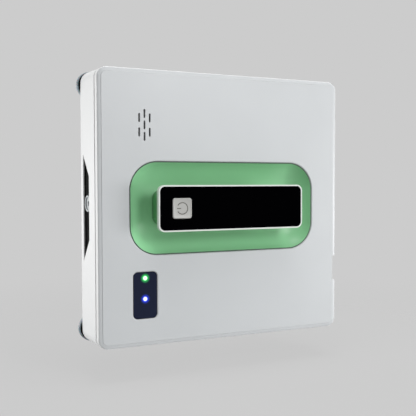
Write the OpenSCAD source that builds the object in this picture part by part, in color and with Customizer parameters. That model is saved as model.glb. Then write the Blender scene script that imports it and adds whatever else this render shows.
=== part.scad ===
// Window cleaning robot: a square suction body that clings to a pane.
// It drives on two rubber tracks inside a ring-shaped mop pad.
// Each piece is drawn lying on the pane, x across, y up the pane and z away from the glass.
// It is then stood upright, so that the glass lies in the plane y = 0 behind the robot.

/* [Casing] */
// Side of the square front face
body_side = 250; // [248:1:256]
// How far each side wall flares out towards the glass
body_flare = 2; // [1:0.5:3]
// Depth of the casing from its front face to its rear rim
case_depth = 50.3; // [50:0.1:54]
// Gap between the rear rim and the glass
rim_gap = 11.7; // [11.4:0.1:12.4]
// Radius of the casing's four corners
corner_r = 9; // [8:0.5:12]
// Wall of the casing mouldings
wall = 2.2; // [2:0.1:2.6]
// Height of the cover's side below the front face
cover_side = 7.4; // [7:0.1:8]
// Width of the rounded edge of the front face
edge_w = 3.8; // [3:0.1:4.6]
// Height of that rounded edge
edge_h = 1.7; // [1.2:0.1:2.4]
// Step between the rounded edge and the front face
edge_step = 0.3; // [0.2:0.05:0.5]
// Height of the seam between cover and housing
seam_h = 2.4; // [2:0.1:2.8]
// Depth of the seam behind the casing's side
seam_inset = 1.2; // [1:0.1:1.4]
// Depth of the cover's locating lip inside the housing
lip_h = 3; // [2:0.5:4]
// Thickness of that lip
lip_t = 1.5; // [1.2:0.1:1.8]
// Depth of the joint between the housing's and the cover's screw posts below the seam
post_drop = 5; // [4.5:0.5:6]

/* [Edge notch] */
// Length of the notch in the cover's right edge
notch_len = 24.9; // [20:0.1:28]
// Depth of the notch
notch_depth = 3.5; // [2.6:0.1:4]
// Height of the notch's centre above the bottom edge
notch_rise = 60.35; // [58:0.1:63]

/* [Grip recess] */
// Width of the recess round the handle
recess_w = 191; // [188:1:194]
// Height of the recess
recess_h = 84.4; // [83:0.2:87]
// Corner radius of the recess
recess_r = 26; // [24.5:0.5:26.5]
// Depth of the recess at the handle
recess_depth = 14; // [12:0.5:14]
// Drop of the tray's edge below the front face
tray_drop = 0.5; // [0.3:0.1:0.8]
// Wall of the tray
tray_t = 1.8; // [1.4:0.1:2]
// Width of the tray's rim outside its concave sides
dish_rim = 0.6; // [0.4:0.1:1]
// Width of the level floor outside the stem's corners
dish_flat = 3; // [2:0.5:4]
// Width of the flange that backs the cover
tray_flange = 5; // [4:0.5:6]
// Chamfer round the cover's openings
opening_chamfer = 0.8; // [0.5:0.1:1]

/* [Handle] */
// Length of the handle
handle_w = 148.6; // [142:0.2:150]
// Height of the handle
handle_h = 41.8; // [39:0.2:43]
// Corner radius of the handle
handle_r = 6; // [5:0.5:8]
// How far the handle stands out in front of the face
handle_rise = 16; // [15:0.5:18]
// Thickness of the handle's frame
handle_t = 4.6; // [4:0.1:5]
// Visible width of the frame round the panel
trim_w = 1.3; // [1:0.1:1.8]
// Thickness of the glossy panel
panel_t = 1.5; // [1.4:0.1:1.6]
// Drop of the panel below the frame's edge
panel_drop = 0.1; // [0.05:0.05:0.2]
// Overhang of the frame past the ends of its stem
stem_end_gap = 5; // [3:0.25:6]
// Height of the stem that carries the handle
stem_h = 32; // [30:0.5:33]
// Corner radius of the stem
stem_r = 8; // [6:0.5:9]
// Wall of the hollow stem
stem_wall = 2.2; // [2:0.1:2.4]
// Distance of the left handle screw from the stem's end, twice that of the right one
screw_inset = 40; // [36:1:44]
// How far the screw heads sink into the handle's frame
screw_sink = 1; // [0.8:0.1:1.2]

/* [Power button] */
// Side of the square button
button_side = 18.6; // [17:0.1:19.4]
// Corner radius of the button
button_r = 2.4; // [1.6:0.1:3]
// Distance of the button's centre from the handle's left end
button_inset = 22.5; // [20:0.5:30]
// How far the button stands proud of the panel
button_proud = 0.5; // [0.45:0.05:0.8]
// Width of the flange that keeps the button in
button_flange = 1.2; // [1:0.1:1.4]
// Travel of the button
button_travel = 0.4; // [0.3:0.05:0.4]
// Side of the switch under the button
switch_side = 6; // [5:0.5:7]
// Height of the switch
switch_h = 1.2; // [1.1:0.05:1.3]
// Radius of the switch's plunger
plunger_r = 1.75; // [1.5:0.05:2]
// Distance of the switch's board behind the handle's frame
switch_drop = 2; // [1.8:0.1:2.4]

/* [Indicator] */
// Distance of the indicator's and sounder's centre line from the left edge
column_inset = 43.5; // [42:0.5:46]
// Width of the dark indicator window
window_w = 22.3; // [20:0.1:24]
// Height of the window
window_h = 42; // [40:0.5:44]
// Corner radius of the window
window_r = 4; // [3:0.5:5]
// Height of the window's centre above the bottom edge
window_rise = 46.25; // [44:0.25:50]
// Radius of each lamp
lamp_r = 2.5; // [2:0.1:2.8]
// Distance between the two lamps
lamp_pitch = 18.9; // [16:0.1:20]
// Height of the upper lamp above the window's centre
lamp_rise = 15.6; // [14:0.1:16]
// Distance of the lamps' board behind the front face
lamp_depth = 11; // [10:0.5:12]
// Thickness of the lip that holds the window behind the cover
window_t = 1.6; // [1.4:0.1:2]
// Width of that lip
window_lip = 2; // [1.5:0.25:2.5]

/* [Sounder] */
// Distance of the sounder's centre from the top edge
sounder_drop = 50.15; // [48:0.5:54]
// Length of each sound slot
slot_len = 8; // [7:0.1:9]
// Width of each sound slot
slot_w = 1.7; // [1.4:0.1:2]
// Distance between the slot columns
slot_pitch_x = 5; // [4.5:0.1:5.5]
// Distance between the slots of the middle column
slot_pitch_y = 10.2; // [9.5:0.1:11]
// Distance between the slots of the side columns
side_pitch_y = 12.8; // [12:0.1:14]
// Radius of the sounder behind the slots
sounder_r = 15; // [14.5:0.5:16]
// Depth of the sounder
sounder_t = 7; // [6:0.5:8]

/* [Side vents] */
// Length of each side slot along its edge near the glass
vent_long = 99.4; // [94:0.2:102]
// Length of the slot's other edge
vent_short = 58.2; // [54:0.2:62]
// Distance of the slot's long edge from the front face
vent_far = 43.7; // [42:0.1:44]
// Distance of the slot's short edge from the front face
vent_near = 26.4; // [25:0.1:28]
// Depth of the black liner behind the wall
liner_depth = 5; // [4:0.5:6]
// Wall of the liner and thickness of its bars
liner_t = 1.4; // [1.2:0.1:1.6]
// Width of the flange behind the wall
liner_flange = 3; // [2.5:0.5:4]
// Number of slats across the slot
slats = 4; // [3:1:5]

/* [Spray] */
// Radius of the spray nozzle's face
nozzle_r = 7.5; // [7:0.25:7.75]
// Height of the nozzles above the middle of their slots
nozzle_rise = 4; // [2:0.5:5]
// Length of the nozzle
nozzle_len = 12; // [10:0.5:14]
// Radius of the nozzle's mist opening
mist_r = 2.4; // [2:0.1:3]
// Outer radius of the water tubes
tube_r = 1.8; // [1.5:0.1:2]
// Inset of the tubes from the pump's edges
tube_inset = 5; // [4.5:0.5:6]
// Size of the pump's head along the pane
pump_w = 24; // [22:1:26]
// Height of the pump's head up the pane
pump_h = 26; // [24:1:28]
// Depth of the pump's head
pump_t = 20; // [18:1:22]
// Radius of the pump's motor
pump_motor_r = 9; // [8:0.5:9.5]
// Length of the pump's motor
pump_motor_len = 18; // [16:1:20]
// Distance of the pump from the body's middle
pump_x = 60; // [58:1:61]

/* [Water tank] */
// Width of the tank
tank_w = 108; // [100:1:108]
// Height of the tank up the pane
tank_h = 35; // [32:1:36]
// Depth of the tank
tank_t = 28; // [26:1:30]
// Wall of the tank
tank_wall = 1.8; // [1.5:0.1:2.2]
// Corner radius of the tank
tank_r = 6; // [4:0.5:8]
// Gap between the tank and the top wall
tank_gap = 10; // [9:0.5:12]
// Offset of the tank and its filler from the body's middle
tank_x = -10; // [-12:1:-8]
// Distance of the tank's outlet from the body's middle
tank_out_x = 20; // [16:1:24]
// Radius of the filler's bore
filler_r = 6; // [5:0.25:7]
// Wall of the filler's neck
filler_wall = 1.8; // [1.5:0.1:2.2]
// Radius of the filler plug's head
plug_head_r = 10; // [9.5:0.5:11]
// Thickness of the plug's head
plug_head_t = 1.8; // [1.5:0.1:2]
// Length of the plug inside the neck
plug_len = 9; // [8:0.5:10]

/* [Fan] */
// Outer radius of the fan casing
fan_r = 36; // [34:0.5:36]
// Height of the fan casing
fan_h = 17; // [16:0.5:18]
// Plate thickness of the fan casing
fan_t = 2; // [1.8:0.1:2.2]
// Radius of the fan's inlet
inlet_r = 18; // [16:0.5:20]
// Number of outlet slots round the casing
outlets = 12; // [10:1:14]
// Radius of the impeller
impeller_r = 30; // [28:0.5:31]
// Height of the impeller's blades at their tips
blade_h = 8; // [7:0.5:8.5]
// Number of blades
blades = 9; // [7:1:11]
// Thickness of a blade
blade_t = 1.2; // [1:0.1:1.4]
// Radius of the blades' curve
blade_r = 19; // [17:0.5:21]
// Gap between the impeller and the casing's plates
impeller_gap = 1.2; // [1:0.1:1.5]
// Radius of the impeller's hub
hub_r = 7; // [6:0.5:8]
// Radius of the fan motor
fan_motor_r = 16; // [15:0.5:18]
// Height of the fan motor
fan_motor_h = 12; // [10:0.5:12.5]
// Radius of the fan's shaft
shaft_r = 1.5; // [1.25:0.05:2]
// Radius of the suction grille
grille_r = 22; // [20:0.5:24]
// Number of rings in the grille
grille_rings = 4; // [3:1:5]
// Radius of the grille's inner ring
grille_rim = 4; // [3:0.5:5]
// Thickness of the grille
grille_t = 2.4; // [2:0.1:2.8]
// Width of the grille's bars
bar_t = 1.2; // [1:0.1:1.4]

/* [Tracks] */
// Distance of each track's centre line from the middle
track_y = 52; // [51:0.5:53]
// Width of each track belt
track_w = 22; // [20:0.5:22]
// Distance between the wheels of one track
wheelbase = 114; // [110:1:118]
// Radius of the belt round its wheels, treads included
track_r = 17; // [16.8:0.1:17.2]
// Thickness of the belt's band
belt_t = 1.4; // [1.2:0.1:1.6]
// Height of the treads
tread_t = 0.8; // [0.6:0.1:1]
// Width of each tread
tread_w = 2.6; // [2:0.1:3]
// Number of treads along each straight run
treads = 18; // [14:1:20]
// Width of the belt's guide rib
rib_w = 4; // [3:0.5:5]
// Height of the guide rib
rib_h = 1.6; // [1.2:0.1:2]
// Slope of the sides of the rib's groove in the wheels
groove_side = 1; // [0.8:0.1:1.4]
// Radius of the wheel axles
axle_r = 3; // [2.5:0.1:3.2]
// Gap between the belt and the walls of its well
well_gap = 2; // [1.5:0.25:2.5]
// Wall of the wells
well_wall = 2; // [1.8:0.1:2.2]
// How far the well's cheeks reach below the base plate
cheek_drop = 4; // [3:0.5:5]
// Roof height of the wells above the belt
well_room = 1.5; // [1.2:0.1:2]

/* [Gears] */
// Module of the drive gears
gear_m = 1; // [1:0.01:1.02]
// Teeth of the pinion
pinion_teeth = 12; // [12:1:13]
// Teeth of the wheel gear
wheel_teeth = 24; // [22:1:24]
// Face width of the gears
gear_w = 5; // [4:0.5:5.5]
// Play between the flanks of two teeth
backlash = 0.2; // [0.16:0.02:0.3]
// Gap between the pitch circles of the two gears
centre_gap = 0.1; // [0.05:0.05:0.15]
// Radius of the track motors
motor_r = 10; // [9:0.5:10.5]
// Length of the track motors
motor_len = 28; // [25:1:30]
// Radius of the motor's shaft
motor_shaft_r = 1.5; // [1.2:0.1:1.8]
// Length of that shaft inside the motor
motor_shaft_len = 8; // [6:1:10]

/* [Corner rollers] */
// Radius of the corner rollers
roller_r = 12.25; // [11.75:0.25:12.75]
// Thickness of the rollers
roller_t = 4.8; // [4:0.1:5]
// Inset of a roller's centre from the front face's side edge
roller_inset_x = 7.5; // [7:0.5:9]
// Inset of a roller's centre from the top or bottom edge
roller_inset_y = 10; // [9:0.5:11]
// Thickness of the soft tyre
tyre_t = 1.2; // [1:0.1:1.5]
// Depth of the groove that keys the tyre into its roller
key_depth = 1.5; // [1.2:0.1:2]
// Radius of a roller's pin
pin_r = 2; // [1.8:0.1:2.4]
// Radius of the pin's head
pin_head_r = 4.2; // [3.8:0.1:4.6]
// Thickness of the pin's head
pin_head_t = 1.2; // [1:0.1:1.4]
// Height of the collar on the base plate above a roller
collar_h = 0.8; // [0.6:0.1:1]

/* [Mop] */
// Inset of the mop from the front face's edge
mop_inset = 8; // [7:0.5:9]
// Width of the pad's four sides
mop_band = 31; // [28:1:32]
// Thickness of the pad
pad_t = 4; // [3:0.25:5]
// Corner radius of the pad's opening
mop_hole_r = 10; // [8:1:14]
// Thickness of the mop frame's floor
frame_floor = 2.4; // [2:0.1:2.8]
// Width of the frame's pockets
pocket_w = 22; // [20:1:24]
// Length of the frame's pockets
pocket_len = 150; // [140:1:160]
// Clearance between the mop and a corner roller
roller_room = 2.25; // [1.75:0.25:3]
// Height of the suction lip inside the mop
lip_ring_h = 10.7; // [9:0.1:11]
// Thickness of the suction lip
lip_ring_t = 2; // [1.6:0.1:2.4]

/* [Power inlet] */
// Radius of the inlet's mouth
inlet_mouth_r = 5; // [4.5:0.1:5.5]
// Depth of the mouth
inlet_mouth_len = 5; // [4:0.5:6]
// Radius of the socket behind the mouth
socket_r = 3; // [2.6:0.1:3.4]
// Radius of the socket's contact pin
contact_r = 1; // [0.8:0.1:1.2]
// Length of the inlet's body
inlet_len = 17; // [15:0.5:18]
// Radius of the inlet's body
inlet_body_r = 6.6; // [6.2:0.1:7]
// Radius of the inlet's outer flange
inlet_flange_r = 8.5; // [8:0.1:9]
// Thickness of that flange
inlet_flange_t = 1; // [0.8:0.1:1.2]
// Distance of the inlet's axis from the front face
inlet_depth = 21; // [19:0.5:24]

/* [Inside] */
// Thickness of the base plate
base_t = 3; // [2.8:0.1:3.2]
// Thickness of the circuit boards
board_t = 1.6; // [1.2:0.1:1.6]
// Width of the main board
board_w = 150; // [130:1:154]
// Height of the main board up the pane
board_h = 54; // [50:1:56]
// Distance between the main board and the cover
board_drop = 8; // [7:0.5:9]
// Offset of the main board from the body's middle
board_x = 20; // [18:1:22]
// Radius of its capacitors
can_r = 4; // [3:0.5:5]
// Radius of a battery cell
cell_r = 9.2; // [8.8:0.1:9.3]
// Length of a battery cell
cell_len = 65; // [60:1:66]
// Gap between neighbouring cells
cell_gap = 1; // [0.8:0.1:1.4]
// Distance of the battery's middle from the body's
cell_mid_x = 29.5; // [28:0.5:30]
// Wall of the battery cradle
cradle_t = 2; // [1.6:0.1:2.2]

/* [Screws] */
// Radius of the case screws
screw_r = 1.5; // [1.4:0.05:1.6]
// Radius of their heads
screw_head_r = 2.9; // [2.7:0.1:3]
// Thickness of their heads
screw_head_t = 1.8; // [1.6:0.1:1.9]
// Radius of the screw posts
post_r = 4.2; // [4:0.1:4.4]
// Inset of the posts' outer row from the front face's edge
post_inset = 9.5; // [9.3:0.1:10]
// Distance of the posts from the body's middle along the side
post_span = 84; // [82:1:86]

/* [Fits] */
// Gap between two mouldings that meet side by side
fit_gap = 0.3; // [0.25:0.05:0.35]
// Radial running clearance of a shaft in its bore
run_gap = 0.05; // [0.03:0.01:0.08]
// Free gap beside a turning piece
side_gap = 0.5; // [0.4:0.05:0.6]

/* [Hidden] */
$fn = 72;
// How far a cut reaches past the faces that it opens
over = 1;

// Heights above the glass
face_z = rim_gap + case_depth;
cover_z = face_z - cover_side;
seam_z = cover_z - seam_h;
cover_post_z = seam_z - post_drop;
roof_z = face_z - wall;
floor_z = rim_gap + base_t;
tray_z = face_z - tray_drop;
dish_z = face_z - recess_depth;
handle_z = face_z + handle_rise;
frame_z = handle_z - handle_t;
panel_z = handle_z - panel_drop - panel_t;

// Radius of the dish's arc, which meets the level floor and ends at the tray's edge
dish_reach = recess_r - dish_rim - dish_flat;
dish_rise = tray_z - dish_z;
dish_r = (dish_reach * dish_reach + dish_rise * dish_rise) / (2 * dish_rise);

// Slope of the side walls and where they are at a height
flare_a = atan(body_flare / (seam_z - rim_gap));
function side_at(h) = body_side / 2 + body_flare * (seam_z - h) / (seam_z - rim_gap);

// Handle, button and switch
stem_w = handle_w - 2 * stem_end_gap;
button_x = button_inset - handle_w / 2;
button_top = handle_z + button_proud - panel_drop;
button_low = frame_z;
button_hole = button_side + 2 * fit_gap;
flange_side = button_side + 2 * button_flange;
switch_z = frame_z - switch_drop;
board_z = switch_z - board_t;

// Indicator and sounder
column_x = column_inset - body_side / 2;
window_y = window_rise - body_side / 2;
lamp_y = window_y + lamp_rise;
sounder_y = body_side / 2 - sounder_drop;
lamp_board_z = face_z - lamp_depth;
lens_share = 0.8;

// Track wheels
wheel_x = wheelbase / 2;
band_r = track_r - tread_t;
wheel_r = band_r - belt_t;
rib_r = wheel_r - rib_h;
tread_root = (tread_t - belt_t / 2) / 2;
groove_r = rib_r - side_gap;
well_x = wheel_x + track_r + well_gap;
well_y0 = track_y - track_w / 2 - well_gap;
well_y1 = track_y + track_w / 2 + well_gap;
well_top = 2 * track_r + well_room;
cheek_z = rim_gap - cheek_drop;

// Gears: the pinion sits above the wheel's gear
gear_r = gear_m * wheel_teeth / 2;
pinion_r = gear_m * pinion_teeth / 2;
pressure_a = 20;
addendum_share = 0.85;
dedendum_share = 1.15;
motor_flat_share = 0.8;
gear_low = track_y + track_w / 2 + side_gap;
gear_high = gear_low + gear_w;
pocket_y1 = gear_high + well_gap;
pocket_half = gear_r + gear_m + well_gap;
pinion_z = track_r + gear_r + pinion_r + centre_gap;
motor_y = pocket_y1 + well_wall;

// Corner rollers
roller_x = body_side / 2 - roller_inset_x;
roller_y = body_side / 2 - roller_inset_y;
roller_low = rim_gap - collar_h - side_gap - roller_t;

// Mop
mop_side = body_side - 2 * mop_inset;
mop_r = corner_r;
mop_hole = mop_side - 2 * mop_band;
lip_ring_side = mop_hole - 2 * side_gap;

// Chips, coils and capacitors of the main board: x, y, width, height and thickness,
// the first four as shares of the board and the last as a share of its distance from the cover
chip_shares = [
    [-0.36, 0.18, 0.12, 0.3, 0.2], [-0.12, 0.2, 0.09, 0.24, 0.15], [0.1, -0.2, 0.16, 0.2, 0.3],
    [0.34, 0.2, 0.1, 0.3, 0.5], [-0.3, -0.28, 0.1, 0.16, 0.3]
];
can_shares = [[0.22, 0.3], [0.14, 0.3], [0.4, -0.28], [-0.02, -0.3]];
can_share = 0.75;
cone_share = 0.8;

// Side vents
vent_low = face_z - vent_far;
vent_high = face_z - vent_near;
vent_mid = (vent_low + vent_high) / 2;
// How much the slot's half narrows with each step away from the glass
vent_slant = (vent_long - vent_short) / 2 / (vent_high - vent_low);

// Power inlet
inlet_y = notch_rise - body_side / 2;
inlet_z = face_z - inlet_depth;

// Tank, plug and pump
tank_y1 = body_side / 2 - tank_gap - wall;
tank_z0 = floor_z + fit_gap;
filler_z = tank_z0 + tank_t / 2;
plug_seat = side_at(filler_z - plug_head_r);
pump_z0 = floor_z;

// Fan
fan_z0 = floor_z;
fan_z1 = fan_z0 + fan_h;
impeller_z0 = fan_z0 + fan_t + impeller_gap;
impeller_z1 = fan_z1 - fan_t - impeller_gap;
// Slant of the outlets in degrees
outlet_turn = -20;
vent_hole_share = 0.6;

// Battery
cell_z = floor_z + cradle_t + cell_r;
cell_row_y = -(well_y1 + well_wall + 2 * cradle_t + 2 * cell_r);

// Stands a piece that was drawn lying on the pane upright
module upright() {
    rotate([90, 0, 0]) children();
}

module round_rect(w, h, r) {
    square([w - 2 * r, h], center = true);
    square([w, h - 2 * r], center = true);
    for (i = [-1, 1], j = [-1, 1])
        translate([i * (w / 2 - r), j * (h / 2 - r)]) circle(r);
}

// Round-cornered plate between two heights
module slab(w, h, r, low, high) {
    translate([0, 0, low]) linear_extrude(high - low) round_rect(w, h, r);
}

module rod(r, low, high) {
    translate([0, 0, low]) cylinder(r = r, h = high - low);
}

module block(x0, x1, y0, y1, z0, z1) {
    translate([x0, y0, z0]) cube([x1 - x0, y1 - y0, z1 - z0]);
}

// Sweeps a wall's profile round a round-cornered rectangle.
// In the profile, x is the distance from the corner's centre and y is the height.
module edge_sweep(w, h, r) {
    for (side = [0:3]) {
        along = side % 2 == 0 ? h / 2 - r : w / 2 - r;
        out = side % 2 == 0 ? w / 2 - r : h / 2 - r;
        rotate(90 * side) translate([out, along, 0]) {
            rotate([90, 0, 0]) linear_extrude(2 * along) children();
            rotate_extrude(angle = 90) children();
        }
    }
}

// Rod along the pane's up direction
module rod_up(r, x, z, y0, y1) {
    translate([x, y0, z]) rotate([-90, 0, 0]) cylinder(r = r, h = y1 - y0);
}

// Rod along the pane's across direction
module rod_across(r, y, z, x0, x1) {
    translate([x0, y, z]) rotate([0, 90, 0]) cylinder(r = r, h = x1 - x0);
}

// The eight screw posts, two near each corner
module at_posts() {
    outer = body_side / 2 - post_inset;
    for (i = [-1, 1], j = [-1, 1]) {
        translate([i * outer, j * post_span, 0]) children();
        translate([i * post_span, j * outer, 0]) children();
    }
}

module at_corners() {
    for (i = [-1, 1], j = [-1, 1]) translate([i * roller_x, j * roller_y, 0]) children();
}

// Frame of the right side wall, x out of the wall and z up its slope
module on_side_wall(z) {
    translate([side_at(z), 0, z]) rotate([0, -flare_a, 0]) children();
}

module vent_outline(grow) {
    low = vent_low - vent_mid - grow;
    high = vent_high - vent_mid + grow;
    half = (vent_long + vent_short) / 4 + grow * sqrt(1 + vent_slant * vent_slant);
    polygon([[low, vent_slant * low - half], [low, half - vent_slant * low],
             [high, half - vent_slant * high], [high, vent_slant * high - half]]);
}

// Vent-shaped prism in the wall's frame, from x0 to x1 out of the wall
module vent_prism(grow, x0, x1) {
    translate([x0, 0, 0]) rotate([0, 90, 0]) mirror([1, 0, 0])
        linear_extrude(x1 - x0) vent_outline(grow);
}

// Quarter-round points of the front face's edge
function edge_points(steps) = [
    for (i = [0:steps]) let (a = 90 * i / steps)
        [corner_r - edge_w * (1 - cos(a)), face_z - edge_h + (edge_h - edge_step) * sin(a)]
];

module top_cover() {
    lip_x = corner_r - wall - fit_gap;
    color("#d3d6d8") upright() {
        difference() {
            union() {
                edge_sweep(body_side, body_side, corner_r) polygon(concat(
                    [[0, roof_z], [lip_x - lip_t, roof_z], [lip_x - lip_t, seam_z - lip_h],
                     [lip_x, seam_z - lip_h], [lip_x, cover_z], [corner_r, cover_z]],
                    edge_points(5),
                    [[corner_r - edge_w, face_z], [0, face_z]]));
                block(corner_r - body_side / 2, body_side / 2 - corner_r,
                    corner_r - body_side / 2, body_side / 2 - corner_r, roof_z, face_z);
                at_posts() rod(post_r, cover_post_z, roof_z + fit_gap);
            }
            slab(recess_w + 2 * fit_gap, recess_h + 2 * fit_gap, recess_r + fit_gap,
                roof_z - over, face_z + over);
            edge_sweep(recess_w, recess_h, recess_r) chamfer_cut(recess_r + fit_gap);
            translate([column_x, window_y, 0]) {
                slab(window_w + 2 * fit_gap, window_h + 2 * fit_gap, window_r + fit_gap,
                    roof_z - over, face_z + over);
                edge_sweep(window_w, window_h, window_r) chamfer_cut(window_r + fit_gap);
            }
            translate([column_x, sounder_y, 0]) sound_slots(roof_z - over, face_z + over);
            translate([body_side / 2 - notch_depth, inlet_y - notch_len / 2, cover_z - over])
                cube([notch_depth + over, notch_len, cover_side + 2 * over]);
            at_posts() rod(screw_r + run_gap, cover_post_z - over, roof_z - wall);
        }
    }
}

// Cuts the chamfer round an opening whose wall is at x = r in the profile
module chamfer_cut(r) {
    polygon([[r - over, face_z + over], [r - over, face_z - opening_chamfer],
             [r, face_z - opening_chamfer], [r + opening_chamfer, face_z],
             [r + opening_chamfer, face_z + over]]);
}

module sound_slots(low, high) {
    places = [for (i = [-1:1]) [0, i * slot_pitch_y], for (i = [-1, 1], j = [-0.5, 0.5])
        [i * slot_pitch_x, j * side_pitch_y]];
    for (p = places) translate([p[0], p[1], 0])
        slab(slot_w, slot_len, slot_w / 2 - run_gap, low, high);
}

module lower_housing() {
    color("#f2f3f3") upright() {
        difference() {
            edge_sweep(body_side, body_side, corner_r) polygon([
                [corner_r - wall, seam_z], [corner_r, seam_z],
                [corner_r + body_flare, rim_gap], [corner_r + body_flare - wall, rim_gap]]);
            for (m = [0, 1]) mirror([m, 0, 0]) on_side_wall(vent_mid)
                vent_prism(0, -wall - over, over);
            rod_across(inlet_body_r + fit_gap, inlet_y, inlet_z, body_side / 2 - 2 * wall,
                side_at(rim_gap) + over);
            rod_up(filler_r + filler_wall + fit_gap, tank_x, filler_z, body_side / 2 - 2 * wall,
                side_at(rim_gap) + over);
        }
        difference() {
            union() {
                at_posts() rod(post_r, floor_z, cover_post_z);
                post_ribs();
            }
            at_posts() rod(screw_r + fit_gap, floor_z - over, cover_post_z + over);
        }
    }
}

// Ribs that tie the screw posts to the nearest wall
module post_ribs() {
    reach = side_at(floor_z) - body_side / 2 + post_inset - wall / 2;
    for (turn = [0:3]) rotate(90 * turn) for (j = [-1, 1])
        translate([body_side / 2 - post_inset, j * post_span, 0]) rotate([90, 0, 0])
            translate([0, 0, -lip_t / 2]) linear_extrude(lip_t) polygon([
                [0, floor_z], [reach, floor_z], [post_inset - wall / 2, cover_post_z - lip_h],
                [0, cover_post_z - lip_h]]);
}

module seam_gasket() {
    inner = corner_r - wall + run_gap;
    color("#b4b7b8") upright() edge_sweep(body_side, body_side, corner_r) polygon([
        [inner, seam_z], [corner_r - seam_inset, seam_z], [corner_r - seam_inset, cover_z],
        [inner, cover_z]]);
}

// Tray that lines the grip recess: concave sides, a level floor and a flange
module grip_tray() {
    inside_x = recess_w / 2 - recess_r;
    inside_y = recess_h / 2 - recess_r;
    hole_w = stem_w - 2 * stem_wall;
    hole_h = stem_h - 2 * stem_wall;
    color("#77b07c") upright() {
        difference() {
            union() {
                edge_sweep(recess_w, recess_h, recess_r) dish_profile();
                block(-inside_x, inside_x, -inside_y, inside_y, dish_z - tray_t, dish_z);
            }
            slab(hole_w, hole_h, stem_r - stem_wall, dish_z - 2 * tray_t, dish_z + over);
        }
    }
}

module dish_profile() {
    difference() {
        union() {
            translate([0, dish_z - tray_t]) square([dish_flat, tray_t]);
            intersection() {
                translate([dish_flat, dish_z - tray_t])
                    square([recess_r - dish_flat, tray_z - dish_z + tray_t]);
                translate([dish_flat, dish_z + dish_r]) circle(dish_r + tray_t);
            }
            translate([recess_r - tray_t, roof_z - tray_t]) square([tray_t, tray_z - roof_z + tray_t]);
            translate([recess_r - 2 * tray_t, roof_z - tray_t])
                square([tray_flange + 2 * tray_t, tray_t]);
        }
        translate([dish_flat, dish_z + dish_r]) circle(dish_r);
    }
}

module handle_stem() {
    shelf = flange_side / 2 + stem_wall;
    color("#6aa271") upright() {
        difference() {
            slab(stem_w, stem_h, stem_r, dish_z, frame_z);
            slab(stem_w - 2 * stem_wall, stem_h - 2 * stem_wall, stem_r - stem_wall,
                dish_z - over, frame_z + over);
        }
        block(button_x - shelf, button_x + shelf, -stem_h / 2 + stem_wall / 2,
            stem_h / 2 - stem_wall / 2, board_z - stem_wall, board_z);
        at_handle_screws() difference() {
            union() {
                rod(post_r, dish_z + wall, frame_z);
                block(-stem_wall / 2, stem_wall / 2, -stem_h / 2 + stem_wall / 2,
                    stem_h / 2 - stem_wall / 2, dish_z + wall, frame_z);
            }
            rod(screw_r + run_gap, dish_z + 2 * wall, frame_z + over);
        }
    }
}

module at_handle_screws() {
    for (x = [-stem_w / 2 + screw_inset, stem_w / 2 - screw_inset / 2])
        translate([x, 0, 0]) children();
}

module handle_frame() {
    color("#eceeee") upright() {
        difference() {
            slab(handle_w, handle_h, handle_r, frame_z, handle_z);
            slab(handle_w - 2 * trim_w, handle_h - 2 * trim_w, handle_r - trim_w,
                panel_z, handle_z + over);
            translate([button_x, 0, 0])
                slab(flange_side + 2 * fit_gap, flange_side + 2 * fit_gap, button_r,
                    frame_z - over, handle_z);
            at_handle_screws() {
                rod(screw_r + fit_gap, frame_z - over, handle_z);
                rod(screw_head_r + fit_gap, panel_z - screw_sink, handle_z);
            }
        }
    }
}

module handle_panel() {
    color("#060607") upright() {
        difference() {
            slab(handle_w - 2 * trim_w - 2 * run_gap, handle_h - 2 * trim_w - 2 * run_gap,
                handle_r - trim_w - run_gap, panel_z, panel_z + panel_t);
            translate([button_x, 0, 0])
                slab(button_hole, button_hole, button_r + fit_gap, panel_z - over, handle_z);
        }
    }
}

module handle_screws() {
    color("silver") upright() at_handle_screws() {
        rod(screw_head_r, panel_z - screw_sink, panel_z - run_gap);
        rod(screw_r, dish_z + 3 * wall, panel_z - screw_sink);
    }
}

module power_button() {
    color("#c8c8c6") upright() translate([button_x, 0, 0]) {
        difference() {
            union() {
                slab(button_side, button_side, button_r, button_low, button_top);
                slab(flange_side, flange_side, button_r, button_low,
                    panel_z - 2 * run_gap);
            }
            slab(2 * switch_side, 2 * switch_side, button_r, button_low - over,
                button_low + button_travel);
        }
    }
}

module switch_plunger() {
    color("#222222") upright() translate([button_x, 0, 0])
        rod(plunger_r, switch_z + button_travel + run_gap, button_low + button_travel);
}

module button_switch() {
    color("#3a3a3c") upright() translate([button_x, 0, 0]) difference() {
        slab(switch_side, switch_side, plunger_r / 2, switch_z, switch_z + switch_h);
        rod(plunger_r + run_gap, switch_z - over, switch_z + switch_h + over);
    }
}

module button_board() {
    color("#2c6b3f") upright() translate([button_x, 0, 0])
        slab(flange_side, flange_side, plunger_r, board_z, switch_z);
}

module indicator_window() {
    color("#2f3547") upright() translate([column_x, window_y, 0]) difference() {
        union() {
            slab(window_w, window_h, window_r, roof_z - over, tray_z);
            slab(window_w + 2 * window_lip, window_h + 2 * window_lip, window_r + window_lip,
                roof_z - window_t, roof_z);
        }
        for (y = [lamp_rise, lamp_rise - lamp_pitch]) translate([0, y, 0])
            rod(lamp_r + run_gap, roof_z - 2 * window_t, face_z);
    }
}

// Lamp: a domed lens on a flanged foot that stands on its board
module lamp(y) {
    upright() translate([column_x, y, 0]) {
        rod(lamp_r, lamp_board_z + board_t, tray_z - lamp_r / 4);
        rod(lamp_r + fit_gap, lamp_board_z + board_t, lamp_board_z + 2 * board_t);
        rod(lamp_r * lens_share, tray_z - lamp_r / 2, tray_z);
    }
}

module green_lamp() {
    color("#49e06a") lamp(lamp_y);
}

module blue_lamp() {
    color("#3f66ff") lamp(lamp_y - lamp_pitch);
}

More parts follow.
